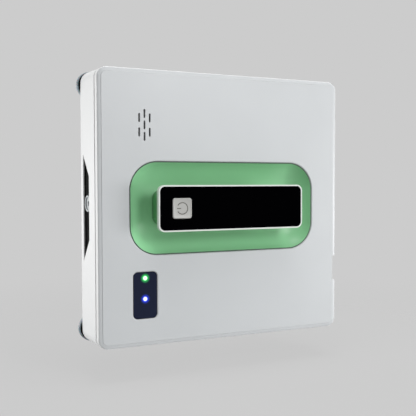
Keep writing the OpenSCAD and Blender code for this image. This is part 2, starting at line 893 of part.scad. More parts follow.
module lamp_board() {
    color("#2c6b3f") upright() translate([column_x, window_y, 0]) {
        slab(window_w, window_h, board_t, lamp_board_z, lamp_board_z + board_t);
        for (i = [-1, 1], j = [-1, 1])
            translate([i * (window_w / 2 - wall), j * (window_h / 2 - wall), 0])
                rod(board_t, lamp_board_z + board_t, roof_z - window_t);
    }
}

// Round loudspeaker: basket, cone and magnet
module sounder() {
    color("#2b2b2d") upright() translate([column_x, sounder_y, roof_z - sounder_t])
        rotate_extrude() polygon([
            [0, 0], [sounder_r / 2, 0], [sounder_r / 2, sounder_t / 3],
            [sounder_r, sounder_t / 2], [sounder_r, sounder_t],
            [sounder_r - wall, sounder_t], [sounder_r - wall, sounder_t * cone_share],
            [sounder_r / 3, sounder_t / 2], [0, sounder_t * cone_share]]);
}

module main_board() {
    y = body_side / 2 - post_inset - post_r - fit_gap - board_h / 2;
    z = roof_z - board_drop;
    color("#1f5a33") upright() translate([board_x, y, 0]) {
        slab(board_w, board_h, board_t, z - board_t, z);
        for (c = chip_shares) translate([c[0] * board_w, c[1] * board_h, 0])
            slab(c[2] * board_w, c[3] * board_h, board_t / 4, z, z + c[4] * board_drop);
        for (c = can_shares) translate([c[0] * board_w, c[1] * board_h, 0])
            rod(can_r, z, z + board_drop * can_share);
        for (i = [-1, 1], j = [-1, 1])
            translate([i * (board_w / 2 - can_r), j * (board_h / 2 - can_r), 0])
                rod(can_r / 2, z, roof_z);
    }
}

module at_cells() {
    for (i = [-1, 1], j = [-1, 1]) translate([cell_mid_x + i * (cell_len + cell_gap) / 2,
        cell_row_y + j * (cell_r + cell_gap / 2), cell_z]) children();
}

module battery_cells() {
    color("#3d6fb3") upright() at_cells() rotate([0, 90, 0]) {
        cylinder(r = cell_r, h = cell_len - cell_gap, center = true);
        translate([0, 0, cell_len / 2 - cell_gap])
            cylinder(r = cell_r / 3, h = cell_gap);
    }
}

module battery_cradle() {
    half_x = cell_len + cell_gap + cradle_t;
    half_y = 2 * cell_r + cell_gap + cradle_t;
    color("#26282b") upright() difference() {
        block(cell_mid_x - half_x, cell_mid_x + half_x, cell_row_y - half_y, cell_row_y + half_y,
            floor_z, cell_z);
        at_cells() rotate([0, 90, 0])
            cylinder(r = cell_r + fit_gap, h = cell_len + fit_gap, center = true);
    }
}

// Fan casing: inlet plate, a ring of outlet vanes and a motor plate
module fan_casing() {
    step = 360 / outlets;
    color("#34363a") upright() difference() {
        rod(fan_r, fan_z0, fan_z1);
        rod(impeller_r + 2 * side_gap, fan_z0 + fan_t, fan_z1 - fan_t);
        rod(inlet_r, fan_z0 - over, fan_z0 + 2 * fan_t);
        rod(shaft_r + fit_gap, fan_z0, fan_z1 + over);
        for (i = [0:outlets - 1]) rotate(i * step)
            translate([impeller_r / 2, impeller_r - fan_t, fan_z0 + fan_t])
                rotate(outlet_turn) cube([fan_r, 3 * fan_t, fan_h - 2 * fan_t]);
    }
}

module fan_motor() {
    color("#8d9196") upright() difference() {
        union() {
            rod(fan_motor_r, fan_z1, fan_z1 + fan_motor_h);
            rod(fan_motor_r + fan_t, fan_z1, fan_z1 + fan_t);
        }
        rod(shaft_r + run_gap, fan_z1 - over, fan_z1 + fan_motor_h - fan_t);
        for (i = [0:5]) rotate(60 * i) translate([fan_motor_r * vent_hole_share, 0, 0])
            rod(fan_t / 2, fan_z1 + fan_motor_h - fan_t / 2, fan_z1 + fan_motor_h + over);
    }
}

// Impeller: a hub, a back plate and backward-curved blades
module fan_impeller() {
    color("#1c1d20") upright() difference() {
        union() {
            rod(impeller_r, impeller_z1 - blade_t, impeller_z1);
            rod(hub_r, impeller_z0, impeller_z1);
            for (i = [0:blades - 1]) rotate(360 / blades * i)
                translate([0, 0, impeller_z1 - blade_h]) linear_extrude(blade_h - blade_t / 2)
                    blade_outline();
        }
        rod(shaft_r + run_gap / 2, impeller_z0 - over, impeller_z1 + over);
    }
}

// One blade: a thin arc that leaves the hub and bends back to the rim
module blade_outline() {
    intersection() {
        translate([blade_r - hub_r / 2, 0]) difference() {
            circle(blade_r);
            circle(blade_r - blade_t);
        }
        circle(impeller_r - blade_t / 2);
        translate([-impeller_r, hub_r / 4]) square([2 * impeller_r, impeller_r]);
    }
}

module fan_shaft() {
    color("silver") upright() rod(shaft_r, impeller_z0, fan_z1 + fan_motor_h - 2 * fan_t);
}

// Box of one track's well, grown by a wall. The gear's pocket opens on its outer side
module well_box(grow, low, high) {
    block(-well_x - grow, well_x + grow, well_y0 - grow, well_y1 + grow, low, high);
    block(wheel_x - pocket_half - grow, wheel_x + pocket_half + grow, well_y1 - over,
        pocket_y1 + grow, low, high);
}

// Both tracks: the lower one is the upper one turned half round
module both_tracks() {
    children();
    rotate(180) children();
}

module base_plate() {
    side = 2 * (side_at(rim_gap) - wall - fit_gap);
    color("#2a2c2f") upright() difference() {
        union() {
            slab(side, side, corner_r + body_flare - wall - fit_gap, rim_gap, floor_z);
            both_tracks() {
                well_box(well_wall, cheek_z, well_top + well_wall);
                block(wheel_x - motor_r - well_wall, wheel_x + motor_r + well_wall,
                    pocket_y1, motor_y, rim_gap, pinion_z + motor_r);
            }
            at_corners() rod(pin_head_r, rim_gap - collar_h, rim_gap + over);
        }
        both_tracks() {
            well_box(0, cheek_z - over, well_top);
            block(wheel_x - pocket_half, wheel_x + pocket_half, gear_low - side_gap, pocket_y1,
                well_top - over, well_top + 2 * well_wall);
            for (x = [-wheel_x, wheel_x])
                rod_up(axle_r + run_gap, x, track_r, well_y0 - well_wall - over,
                    pocket_y1 + well_wall + over);
            rod_up(motor_shaft_r + fit_gap, wheel_x, pinion_z, pocket_y1 - over, motor_y + over);
        }
        rod(grille_r + fit_gap, rim_gap - over, floor_z + over);
        at_posts() {
            rod(screw_r + fit_gap, rim_gap - over, floor_z + over);
            rod(screw_head_r + fit_gap, rim_gap - over, rim_gap + screw_head_t);
        }
        at_corners() rod(pin_r + run_gap, rim_gap - collar_h - over, floor_z - base_t / 3 + run_gap);
    }
}

module suction_grille() {
    pitch = (grille_r - grille_rim) / grille_rings;
    color("#17181a") upright() {
        for (i = [0:grille_rings]) {
            outer = grille_rim + pitch * i;
            difference() {
                rod(outer, rim_gap, rim_gap + grille_t);
                rod(outer - bar_t, rim_gap - over, rim_gap + grille_t + over);
            }
        }
        for (i = [0:2]) rotate(60 * i)
            block(-grille_r + bar_t / 2, grille_r - bar_t / 2, -bar_t / 2, bar_t / 2,
                rim_gap, rim_gap + grille_t);
    }
}

module suction_lip() {
    r = mop_hole_r - side_gap;
    color("#3b3d40") upright() edge_sweep(lip_ring_side, lip_ring_side, r) polygon([
        [r - lip_ring_t, rim_gap], [r, rim_gap], [r, rim_gap - lip_ring_h / 3],
        [r - lip_ring_t / 2, rim_gap - lip_ring_h], [r - lip_ring_t, rim_gap - lip_ring_h]]);
}

// Outline of the mop ring between two heights, with room for the corner rollers
module mop_ring(low, high) {
    difference() {
        slab(mop_side, mop_side, mop_r, low, high);
        slab(mop_hole, mop_hole, mop_hole_r, low - over, high + over);
        at_corners() rod(roller_r + roller_room, low - over, high + over);
    }
}

module mop_frame() {
    mid = (mop_side + mop_hole) / 4;
    color("#8f9396") upright() difference() {
        mop_ring(pad_t, rim_gap);
        for (turn = [0:3]) rotate(90 * turn) translate([mid, 0, 0])
            slab(pocket_w, pocket_len, wall, pad_t + frame_floor, rim_gap + over);
    }
}

module mop_pad() {
    color("#e9ebe8") upright() mop_ring(0, pad_t);
}

// Side view of a track's loop at a radius
module loop_outline(r) {
    square([wheelbase, 2 * r], center = true);
    for (x = [-wheel_x, wheel_x]) translate([x, 0]) circle(r);
}

// Prism of the loop between two places up the pane
module loop(r, y0, y1) {
    translate([0, y1, track_r]) rotate([90, 0, 0]) linear_extrude(y1 - y0) loop_outline(r);
}

module track_belt() {
    low = track_y - track_w / 2;
    high = track_y + track_w / 2;
    pitch = wheelbase / treads;
    turn_treads = round(PI * band_r / pitch);
    color("#202124") upright() {
        difference() {
            loop(band_r, low, high);
            loop(wheel_r, low - over, high + over);
        }
        difference() {
            loop(wheel_r + belt_t / 2, track_y - rib_w / 2, track_y + rib_w / 2);
            loop(rib_r, low, high);
        }
        for (i = [0:treads - 1], side = [-1, 1])
            translate([(i + 0.5) * pitch - wheel_x, track_y, track_r + side * (band_r + tread_root)])
                cube([tread_w, track_w, tread_t + belt_t / 2], center = true);
        for (i = [0.5:turn_treads - 0.5], side = [0, 1])
            translate([0, track_y, track_r]) rotate([0, 180 * side, 0]) translate([wheel_x, 0, 0])
                rotate([0, 90 - 180 * i / turn_treads, 0]) translate([band_r + tread_root, 0, 0])
                    cube([tread_t + belt_t / 2, track_w, tread_w], center = true);
    }
}

// Wheel profile with a groove for the belt's guide rib, along the axle
module wheel_profile(bore) {
    half = track_w / 2 - side_gap;
    polygon([[bore, -half], [wheel_r - run_gap, -half], [wheel_r - run_gap, -rib_w / 2 - groove_side],
             [groove_r, -rib_w / 2 - groove_side / 2], [groove_r, rib_w / 2 + groove_side / 2],
             [wheel_r - run_gap, rib_w / 2 + groove_side], [wheel_r - run_gap, half], [bore, half]]);
}

// Round holes that lighten a wheel's web
module wheel_holes() {
    for (i = [0:5]) rotate(60 * i) translate([(axle_r + groove_r) / 2, 0, 0])
        cylinder(r = (groove_r - axle_r) / 4, h = 2 * track_w, center = true);
}

module at_wheel(x) {
    translate([x, track_y, track_r]) rotate([-90, 0, 0]) children();
}

// A point of the involute of a base circle, unrolled by an angle, and turned
function involute(base, roll, turn) = let (arc = base * roll * PI / 180) [
    base * cos(roll + turn) + arc * sin(roll + turn),
    base * sin(roll + turn) - arc * cos(roll + turn)
];
function flank_roll(base, r) = sqrt(max(0, r * r / (base * base) - 1)) * 180 / PI;

// Outline of a spur gear: each tooth has two involute flanks of a few points
module gear_outline(teeth, phase) {
    pitch_r = gear_m * teeth / 2;
    base = pitch_r * cos(pressure_a);
    tip = pitch_r + gear_m * addendum_share;
    root = pitch_r - gear_m * dedendum_share;
    at_pitch = flank_roll(base, pitch_r) - pressure_a;
    half = 90 / teeth - backlash / pitch_r * 90 / PI;
    rolls = [for (i = [0:3]) flank_roll(base, tip) * i / 3];
    polygon([for (t = [0:teeth - 1]) let (mid = phase + 360 * t / teeth, open = half + at_pitch)
        each concat(
            [root * [cos(mid - open), sin(mid - open)]],
            [for (a = rolls) involute(base, a, mid - open)],
            [for (i = [3:-1:0]) let (p = involute(base, rolls[i], -open))
                [p[0] * cos(mid) + p[1] * sin(mid), p[0] * sin(mid) - p[1] * cos(mid)]],
            [root * [cos(mid + open), sin(mid + open)]])]);
}

// Driven wheel of a track: wheel, gear and axle in one moulding
module drive_wheel() {
    color("#4b4e52") upright() at_wheel(wheel_x) {
        difference() {
            rotate_extrude() wheel_profile(0);
            wheel_holes();
        }
        translate([0, 0, gear_low - track_y]) linear_extrude(gear_w)
            gear_outline(wheel_teeth, -90);
        rod(axle_r + wall, track_w / 2 - over, gear_low - track_y + over);
        rod(axle_r, well_y0 - well_wall - track_y, motor_y - track_y);
    }
}

module idler_wheel() {
    color("#4b4e52") upright() at_wheel(-wheel_x) difference() {
        rotate_extrude() wheel_profile(axle_r + run_gap);
        wheel_holes();
    }
}

// Fixed axle of an idler, held in the well's two walls
module idler_axles() {
    color("silver") upright() both_tracks()
        rod_up(axle_r, -wheel_x, track_r, well_y0 - well_wall, well_y1 + well_wall);
}

// Pinion on its motor shaft, in mesh with the wheel's gear
module motor_pinion() {
    color("#d9d3c4") upright() translate([wheel_x, track_y, pinion_z]) rotate([-90, 0, 0]) {
        translate([0, 0, gear_low - track_y]) linear_extrude(gear_w)
            gear_outline(pinion_teeth, 90 + 180 / pinion_teeth);
        rod(motor_shaft_r, gear_low - track_y, motor_y - track_y + motor_shaft_len);
    }
}

module track_motor() {
    flat = motor_r * motor_flat_share;
    color("#9a9da1") upright() difference() {
        union() {
            intersection() {
                rod_up(motor_r, wheel_x, pinion_z, motor_y, motor_y + motor_len);
                block(wheel_x - motor_r, wheel_x + motor_r, motor_y, motor_y + motor_len,
                    pinion_z - flat, pinion_z + flat);
            }
            rod_up(motor_r / 3, wheel_x, pinion_z, motor_y + motor_len - over,
                motor_y + motor_len + wall);
        }
        rod_up(motor_shaft_r + run_gap, wheel_x, pinion_z, motor_y - over,
            motor_y + motor_shaft_len + over);
    }
}

// Corner roller: a black disc with a dished face, running on its pin
module roller(x, y) {
    rim = roller_r - tyre_t;
    color("#0d0d0e") upright() translate([x * roller_x, y * roller_y, roller_low]) difference() {
        rod(rim, 0, roller_t);
        rod(rim - 2 * key_depth, -over, roller_t / 4);
        rod(pin_r + run_gap, -over, roller_t + over);
        translate([0, 0, roller_t / 2]) tyre_key(run_gap);
    }
}

// Ring that keys the tyre into the roller's rim
module tyre_key(play) {
    rim = roller_r - tyre_t;
    difference() {
        rod(rim + tyre_t / 3, -roller_t / 6 - play, roller_t / 6 + play);
        rod(rim - key_depth - play, -roller_t, roller_t);
    }
}

module tyre(x, y) {
    rim = roller_r - tyre_t;
    color("#9aa5ab") upright() translate([x * roller_x, y * roller_y, roller_low]) {
        rotate_extrude() polygon([
            [rim + run_gap, 0], [roller_r - tyre_t / 3, 0], [roller_r, tyre_t / 3],
            [roller_r, roller_t - tyre_t / 3], [roller_r - tyre_t / 3, roller_t],
            [rim + run_gap, roller_t]]);
        translate([0, 0, roller_t / 2]) tyre_key(0);
    }
}

module roller_pins() {
    color("silver") upright() at_corners() {
        rod(pin_r, roller_low - side_gap / 2, floor_z - base_t / 3);
        rod(pin_head_r, roller_low - side_gap / 2 - pin_head_t, roller_low - side_gap / 2);
    }
}

// Black liner behind a side slot, with slats along it and a collar for the nozzle
module side_vent() {
    pitch = (vent_high - vent_low) / (slats + 1);
    color("#101113") upright() on_side_wall(vent_mid) {
        difference() {
            union() {
                vent_prism(-fit_gap, -wall - liner_depth, -wall / 2);
                vent_prism(liner_flange, -wall - liner_t - fit_gap, -wall - fit_gap);
            }
            difference() {
                vent_prism(-fit_gap - liner_t, -wall - liner_depth - over, over);
                for (i = [1:slats]) translate([0, 0, vent_low - vent_mid + i * pitch])
                    block(-wall - liner_depth, -wall, -vent_long / 2, vent_long / 2,
                        -liner_t / 2, liner_t / 2);
                nozzle_bore(nozzle_r + liner_t, -wall - liner_depth, -wall);
            }
            nozzle_bore(nozzle_r + run_gap, -wall - 2 * liner_depth, over);
        }
    }
}

module nozzle_bore(r, x0, x1) {
    rod_across(r, nozzle_rise, 0, x0, x1);
}

module spray_nozzle() {
    back = -wall - nozzle_len;
    color("#c9ced0") upright() on_side_wall(vent_mid) difference() {
        union() {
            nozzle_bore(nozzle_r, -wall - liner_depth - liner_t, -wall / 2);
            nozzle_bore(nozzle_r + liner_t, -wall - liner_depth - liner_t, -wall - liner_depth);
            nozzle_bore(nozzle_r / 2, back, -wall);
            nozzle_bore(tube_r, back - tube_r, back + over);
        }
        nozzle_bore(mist_r, -wall - liner_depth, over);
        nozzle_bore(nozzle_r - liner_t, -wall, over);
    }
}

module water_tank() {
    color("#dfe6ea") upright() {
        difference() {
            union() {
                tank_body(0);
                rod_up(filler_r + filler_wall, tank_x, filler_z, tank_y1 - over,
                    side_at(filler_z + plug_head_r) - fit_gap);
            }
            tank_body(tank_wall);
            rod_up(filler_r, tank_x, filler_z, tank_y1 - 2 * tank_wall, side_at(0));
        }
    }
}

module tank_body(inset) {
    translate([tank_x, tank_y1 - tank_h / 2, 0])
        slab(tank_w - 2 * inset, tank_h - 2 * inset, tank_r - inset, tank_z0 + inset,
            tank_z0 + tank_t - inset);
}

module filler_plug() {
    color("#5d6266") upright() {
        rod_up(filler_r - run_gap, tank_x, filler_z, plug_seat - plug_len, plug_seat + plug_head_t);
        rod_up(plug_head_r, tank_x, filler_z, plug_seat, plug_seat + plug_head_t);
        block(tank_x - plug_head_r / 3, tank_x + plug_head_r / 3, plug_seat,
            plug_seat + plug_head_t, filler_z, filler_z + plug_head_r + wall);
    }
}

module water_pump() {
    color("#3a3d41") upright() {
        translate([pump_x + pump_w / 2, 0, 0])
            slab(pump_w, pump_h, wall, pump_z0, pump_z0 + pump_t);
        rod_across(pump_motor_r, 0, pump_z0 + pump_t / 2, pump_x + pump_w - over,
            pump_x + pump_w + pump_motor_len);
    }
}

// A tube: straight runs with round elbows through a list of points
module tube_path(points) {
    for (i = [0:len(points) - 2]) {
        step = points[i + 1] - points[i];
        len_xy = norm([step[0], step[1]]);
        translate(points[i]) rotate([0, atan2(len_xy, step[2]), atan2(step[1], step[0])])
            cylinder(r = tube_r, h = norm(step));
        if (i > 0) translate(points[i]) sphere(tube_r);
    }
}

// Three tubes: tank to pump, pump to the right nozzle, and over the upper track to the left one
module water_tubes() {
    pump_top = pump_z0 + pump_t + run_gap;
    near = pump_x + tube_inset;
    far = pump_x + pump_w - tube_inset;
    drop_x = pump_x + pump_w + pump_motor_len + 2 * tube_r;
    nozzle_x = side_at(vent_mid) - (wall + nozzle_len + tube_r) * cos(flare_a) - fit_gap;
    nozzle_z = vent_mid - (wall + nozzle_len + tube_r) * sin(flare_a);
    tank_y0 = tank_y1 - tank_h - run_gap;
    over_z = well_top + well_wall + 2 * tube_r;
    color("#cfd8dc") upright() {
        tube_path([[near, tube_inset, pump_top], [near, tube_inset, over_z],
            [near, track_y, over_z], [-drop_x, track_y, over_z],
            [-drop_x, nozzle_rise, over_z], [-drop_x, nozzle_rise, nozzle_z],
            [-nozzle_x, nozzle_rise, nozzle_z]]);
        tube_path([[far, nozzle_rise, pump_top], [far, nozzle_rise, over_z],
            [drop_x, nozzle_rise, over_z], [drop_x, nozzle_rise, nozzle_z],
            [nozzle_x, nozzle_rise, nozzle_z]]);
        tube_path([[tank_out_x, tank_y0, over_z], [tank_out_x, well_y1 - tube_inset, over_z],
            [pump_x + pump_w / 2, well_y1 - tube_inset, over_z],
            [pump_x + pump_w / 2, -tube_inset, over_z],
            [pump_x + pump_w / 2, -tube_inset, pump_top]]);
    }
}

module power_inlet() {
    out = side_at(inlet_z - inlet_flange_r);
    color("#1b1c1e") upright() translate([0, inlet_y, inlet_z]) {
        difference() {
            union() {
                rod_across(inlet_body_r, 0, 0, out - inlet_len, out);
                rod_across(inlet_flange_r, 0, 0, out, out + inlet_flange_t);
            }
            rod_across(inlet_mouth_r, 0, 0, out + inlet_flange_t - inlet_mouth_len,
                out + 2 * inlet_flange_t);
            rod_across(socket_r, 0, 0, out - inlet_len + 2 * wall, out);
        }
        rod_across(contact_r, 0, 0, out - inlet_len + wall, out - inlet_mouth_len);
    }
}

module case_screws() {
    color("silver") upright() at_posts() {
        rod(screw_head_r, rim_gap, rim_gap + screw_head_t);
        rod(screw_r, rim_gap, roof_z - 2 * wall);
    }
}

top_cover();
lower_housing();
seam_gasket();
grip_tray();
handle_stem();
handle_frame();
handle_panel();
handle_screws();
power_button();
switch_plunger();
button_switch();
button_board();
indicator_window();
green_lamp();
blue_lamp();
lamp_board();
sounder();
main_board();
battery_cells();
battery_cradle();
fan_casing();
fan_motor();
fan_impeller();
fan_shaft();
base_plate();
suction_grille();
suction_lip();
mop_frame();
mop_pad();
track_belt();  // track_belt_upper
rotate([0, 180, 0]) track_belt();  // track_belt_lower
drive_wheel();  // drive_wheel_upper
rotate([0, 180, 0]) drive_wheel();  // drive_wheel_lower
idler_wheel();  // idler_wheel_upper
rotate([0, 180, 0]) idler_wheel();  // idler_wheel_lower
idler_axles();
motor_pinion();  // motor_pinion_upper
rotate([0, 180, 0]) motor_pinion();  // motor_pinion_lower
track_motor();  // track_motor_upper
rotate([0, 180, 0]) track_motor();  // track_motor_lower
roller(-1, 1);  // roller_top_left
roller(1, 1);  // roller_top_right
roller(-1, -1);  // roller_bottom_left
roller(1, -1);  // roller_bottom_right
tyre(-1, 1);  // tyre_top_left
tyre(1, 1);  // tyre_top_right
tyre(-1, -1);  // tyre_bottom_left
tyre(1, -1);  // tyre_bottom_right
roller_pins();
mirror([1, 0, 0]) side_vent();  // side_vent_left
side_vent();  // side_vent_right
mirror([1, 0, 0]) spray_nozzle();  // spray_nozzle_left
spray_nozzle();  // spray_nozzle_right
water_tank();
filler_plug();
water_pump();
water_tubes();
power_inlet();
case_screws();
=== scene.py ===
"""Visual model of a window cleaning robot, built round its packed frame.

The robot stands upright. X runs across it, Z up it, and the glass lies behind it in the plane y = 0.
"""

import math

import bmesh
import bpy
from mathutils import Matrix, Vector, noise


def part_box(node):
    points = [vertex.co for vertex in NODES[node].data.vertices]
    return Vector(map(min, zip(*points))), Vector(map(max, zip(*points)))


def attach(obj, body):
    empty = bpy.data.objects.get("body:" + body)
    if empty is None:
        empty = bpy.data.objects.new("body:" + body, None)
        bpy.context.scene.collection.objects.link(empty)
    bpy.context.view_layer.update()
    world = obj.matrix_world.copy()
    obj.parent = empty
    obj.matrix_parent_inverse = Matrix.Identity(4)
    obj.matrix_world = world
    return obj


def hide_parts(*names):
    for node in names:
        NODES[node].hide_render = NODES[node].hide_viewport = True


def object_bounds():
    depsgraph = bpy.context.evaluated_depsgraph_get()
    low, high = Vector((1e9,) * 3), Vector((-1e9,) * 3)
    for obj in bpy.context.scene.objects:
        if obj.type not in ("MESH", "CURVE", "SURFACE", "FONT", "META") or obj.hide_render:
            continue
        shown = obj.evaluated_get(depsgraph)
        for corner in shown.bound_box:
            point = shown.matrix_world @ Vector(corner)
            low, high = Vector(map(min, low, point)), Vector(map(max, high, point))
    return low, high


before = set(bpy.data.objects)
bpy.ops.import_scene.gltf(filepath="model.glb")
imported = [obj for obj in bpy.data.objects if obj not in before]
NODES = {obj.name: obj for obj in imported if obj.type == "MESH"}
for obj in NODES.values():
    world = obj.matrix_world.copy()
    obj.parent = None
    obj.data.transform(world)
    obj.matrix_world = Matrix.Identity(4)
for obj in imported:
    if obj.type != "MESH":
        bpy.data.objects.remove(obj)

bl_info = {
    "name": "Window cleaning robot",
    "version": (1, 0, 0),
    "blender": (4, 5, 0),
    "location": "View3D > Sidebar > Robot",
    "description": "Finishes and fine pieces of a window cleaning robot",
    "category": "Object",
}

CAD_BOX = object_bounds()
MM = 0.001
# Vertices nearer than WELD are one, and edges sharper than SHARP stay sharp.
WELD = 0.001 * MM
SHARP = math.radians(35)
# How far a cutter reaches past the surface that it cuts, in mm.
OVERRUN = 1.0
# The four quarters round a middle, in order.
QUARTERS = ((1, 1), (-1, 1), (-1, -1), (1, -1))
# The sockets of a colour mix are reached by their places, because its names repeat.
SHARE, FIRST, SECOND, MIXED = 0, 6, 7, 2
WHITE = (1.0, 1.0, 1.0, 1.0)
BLACK = (0.0, 0.0, 0.0, 1.0)
# The flow marks of a large moulding are 55 mm wide, 18 to the metre, and a shade darker.
PATCHES = 18.0
PATCH_SHADE = (0.94, 0.94, 0.94, 1.0)
# Painted shade in a crease begins at this share of open view and is darkest at the second.
CREASE_SHADE_OPEN = (0.85, 0.25)
CREASE_SHADE = (0.08, 0.08, 0.08, 1.0)
# Cosines of the angle between an edge's rounded and flat normals, where its lightening, as wear and painted
# highlight, begins and is full.
EDGE_TURN = (0.995, 0.8)
# The grain's heights between which the roughness changes, and the shares of it at the two.
GRAIN_HEIGHTS = (0.3, 0.7)
GRAIN_SHARES = (0.9, 1.12)
# Half the width over which a finish ends, in mm.
FEATHER = 0.1


def linear(code):
    """Linear RGBA of an sRGB hex colour."""
    parts = [int(code[i : i + 2], 16) / 255 for i in (1, 3, 5)]
    return tuple(c / 12.92 if c <= 0.04045 else ((c + 0.055) / 1.055) ** 2.4 for c in parts) + (1.0,)


def add(tree, kind, inputs=None, **settings):
    """Adds a node with its settings, input values and links, and returns it."""
    node = tree.nodes.new(kind)
    for name, value in settings.items():
        setattr(node, name, value)
    for name, value in (inputs or {}).items():
        if isinstance(value, bpy.types.NodeSocket):
            tree.links.new(value, node.inputs[name])
        else:
            node.inputs[name].default_value = value
    return node


def new_material(name):
    """An empty node material, its tree and its object coordinates, in metres in the row frame."""
    material = bpy.data.materials.new(name)
    material.use_nodes = True
    tree = material.node_tree
    tree.nodes.clear()
    return material, tree, add(tree, "ShaderNodeTexCoord").outputs["Object"]


def moulding(
    name, colour, roughness, grain=0.3, depth=0.01, edge=0.35, wear_and_highlight=0.06, stretch=(1, 1, 1),
    bare=None, crease_shade_width=1.2, **sockets
):
    """Material of a moulded, sprayed or turned surface.

    grain and depth are the size and depth of its texture and edge the radius of its edges, in mm.
    Real skins and flakes are finer than 0.2 mm, and are drawn coarser so that they show.
    The wear and highlight share lightens those edges, partly as handling wears them and partly as a painted
    highlight, and stretch draws the grain out along an axis.
    bare is a second colour and the y, in mm, behind which the surface has it.
    The crease shade width is the width, in mm, of the painted shade along inner corners and in narrow gaps.
    """
    material, tree, place = new_material(name)
    tone = colour if isinstance(colour, tuple) else linear(colour)
    # Grain and patches.
    drawn = add(tree, "ShaderNodeMapping", {"Vector": place, "Scale": stretch}).outputs[0]
    skin = {"Vector": drawn, "Scale": 1 / (grain * MM), "Detail": 3.0, "Roughness": 0.6}
    fine = add(tree, "ShaderNodeTexNoise", skin).outputs[0]
    patches = {"Vector": place, "Scale": PATCHES, "Detail": 2.0}
    broad = add(tree, "ShaderNodeTexNoise", patches).outputs[0]
    # Where the surface turns at an edge, which is lightened as wear and a painted highlight.
    rounded = add(tree, "ShaderNodeBevel", {"Radius": edge * MM}, samples=4).outputs[0]
    flat = add(tree, "ShaderNodeNewGeometry").outputs["Normal"]
    bend = add(tree, "ShaderNodeVectorMath", {0: rounded, 1: flat}, operation="DOT_PRODUCT")
    turning = {
        "Value": bend.outputs["Value"], "From Min": EDGE_TURN[0], "From Max": EDGE_TURN[1], "To Max": wear_and_highlight
    }
    rim = add(tree, "ShaderNodeMapRange", turning).outputs[0]
    if bare:
        second, limit = bare
        depth_in = add(tree, "ShaderNodeSeparateXYZ", {0: place}).outputs["Y"]
        start, end = (limit - FEATHER) * MM, (limit + FEATHER) * MM
        across = {"Value": depth_in, "From Min": start, "From Max": end}
        behind = add(tree, "ShaderNodeMapRange", across).outputs[0]
        two = {SHARE: behind, FIRST: tone, SECOND: second}
        tone = add(tree, "ShaderNodeMix", two, data_type="RGBA").outputs[MIXED]
    # Patches, edges lightened as wear and a painted highlight, and painted shade in creases, one over the
    # other.
    patched = {SHARE: broad, FIRST: tone, SECOND: PATCH_SHADE}
    shade = add(tree, "ShaderNodeMix", patched, data_type="RGBA", blend_type="MULTIPLY").outputs[MIXED]
    worn_highlit_edges = {SHARE: rim, FIRST: shade, SECOND: WHITE}
    worn_and_highlit = add(tree, "ShaderNodeMix", worn_highlit_edges, data_type="RGBA").outputs[MIXED]
    # Painted shade: the colour darkens where ambient occlusion finds little open view, in creases and
    # narrow gaps.
    shelter = add(tree, "ShaderNodeAmbientOcclusion", {"Distance": crease_shade_width * MM}, samples=8).outputs["AO"]
    shut = {"Value": shelter, "From Min": CREASE_SHADE_OPEN[0], "From Max": CREASE_SHADE_OPEN[1]}
    closed = add(tree, "ShaderNodeMapRange", shut).outputs[0]
    crease_shaded = {SHARE: closed, FIRST: worn_and_highlit, SECOND: CREASE_SHADE}
    seen = add(tree, "ShaderNodeMix", crease_shaded, data_type="RGBA", blend_type="MULTIPLY").outputs[MIXED]
    # Gloss and relief follow the grain.
    gloss = {
        "Value": fine, "From Min": GRAIN_HEIGHTS[0], "From Max": GRAIN_HEIGHTS[1],
        "To Min": roughness * GRAIN_SHARES[0], "To Max": roughness * GRAIN_SHARES[1],
    }
    polish = add(tree, "ShaderNodeMapRange", gloss).outputs[0]
    relief = {"Height": fine, "Distance": depth * MM, "Strength": 1.0, "Normal": rounded}
    bump = add(tree, "ShaderNodeBump", relief).outputs[0]
    surface = {"Base Color": seen, "Roughness": polish, "Normal": bump, **sockets}
    shader = add(tree, "ShaderNodeBsdfPrincipled", surface).outputs[0]
    add(tree, "ShaderNodeOutputMaterial", {"Surface": shader})
    return material


def finish(material, *names):
    """Gives CAD nodes one material."""
    for name in names:
        mesh = NODES[name].data
        mesh.materials.clear()
        mesh.materials.append(material)


def object_of(name, build, *materials):
    """An object made from a bmesh, which it frees."""
    mesh = bpy.data.meshes.new(name)
    build.to_mesh(mesh)
    build.free()
    for material in materials:
        mesh.materials.append(material)
    made = bpy.data.objects.new(name, mesh)
    bpy.context.scene.collection.objects.link(made)
    return made


def smooth(mesh):
    """Shades a mesh smooth between its sharp edges."""
    mesh.polygons.foreach_set("use_smooth", [True] * len(mesh.polygons))
    mesh.set_sharp_from_angle(angle=SHARP)


def settle(target):
    """Turns a piece's modifiers into its mesh, and returns that."""
    solved = target.evaluated_get(bpy.context.evaluated_depsgraph_get())
    mesh = bpy.data.meshes.new_from_object(solved)
    target.modifiers.clear()
    target.data = mesh
    return mesh


def piece(name, build, body, slot, *materials):
    """An object from a bmesh, riding on a body, with its materials. The slot argument is not used."""
    bmesh.ops.recalc_face_normals(build, faces=build.faces)
    made = object_of(name, build, *materials)
    smooth(made.data)
    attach(made, body)
    return made


def loft(build, rings, closed=False):
    """Faces between rings of points, with caps on the two ends unless the rings close on themselves."""
    rows = [[build.verts.new(p) for p in ring] for ring in rings]
    count = len(rows[0])
    pairs = list(zip(rows, rows[1:])) + ([(rows[-1], rows[0])] if closed else [])
    for low, high in pairs:
        for i in range(count):
            j = (i + 1) % count
            build.faces.new((low[i], low[j], high[j], high[i]))
    if not closed:
        build.faces.new(rows[0])
        build.faces.new(rows[-1])


def rounded_square(x, z, y, half, radius, steps=8):
    """Outline of a rounded square in a plane of constant y, in metres from mm."""
    points = []
    for turn, (sx, sz) in enumerate(QUARTERS):
        corner_x, corner_z = x + sx * (half - radius), z + sz * (half - radius)
        for i in range(steps + 1):
            a = math.radians(90 * turn + 90 * i / steps)
            point = Vector((corner_x + radius * math.cos(a), y, corner_z + radius * math.sin(a)))
            points.append(point * MM)
    return points


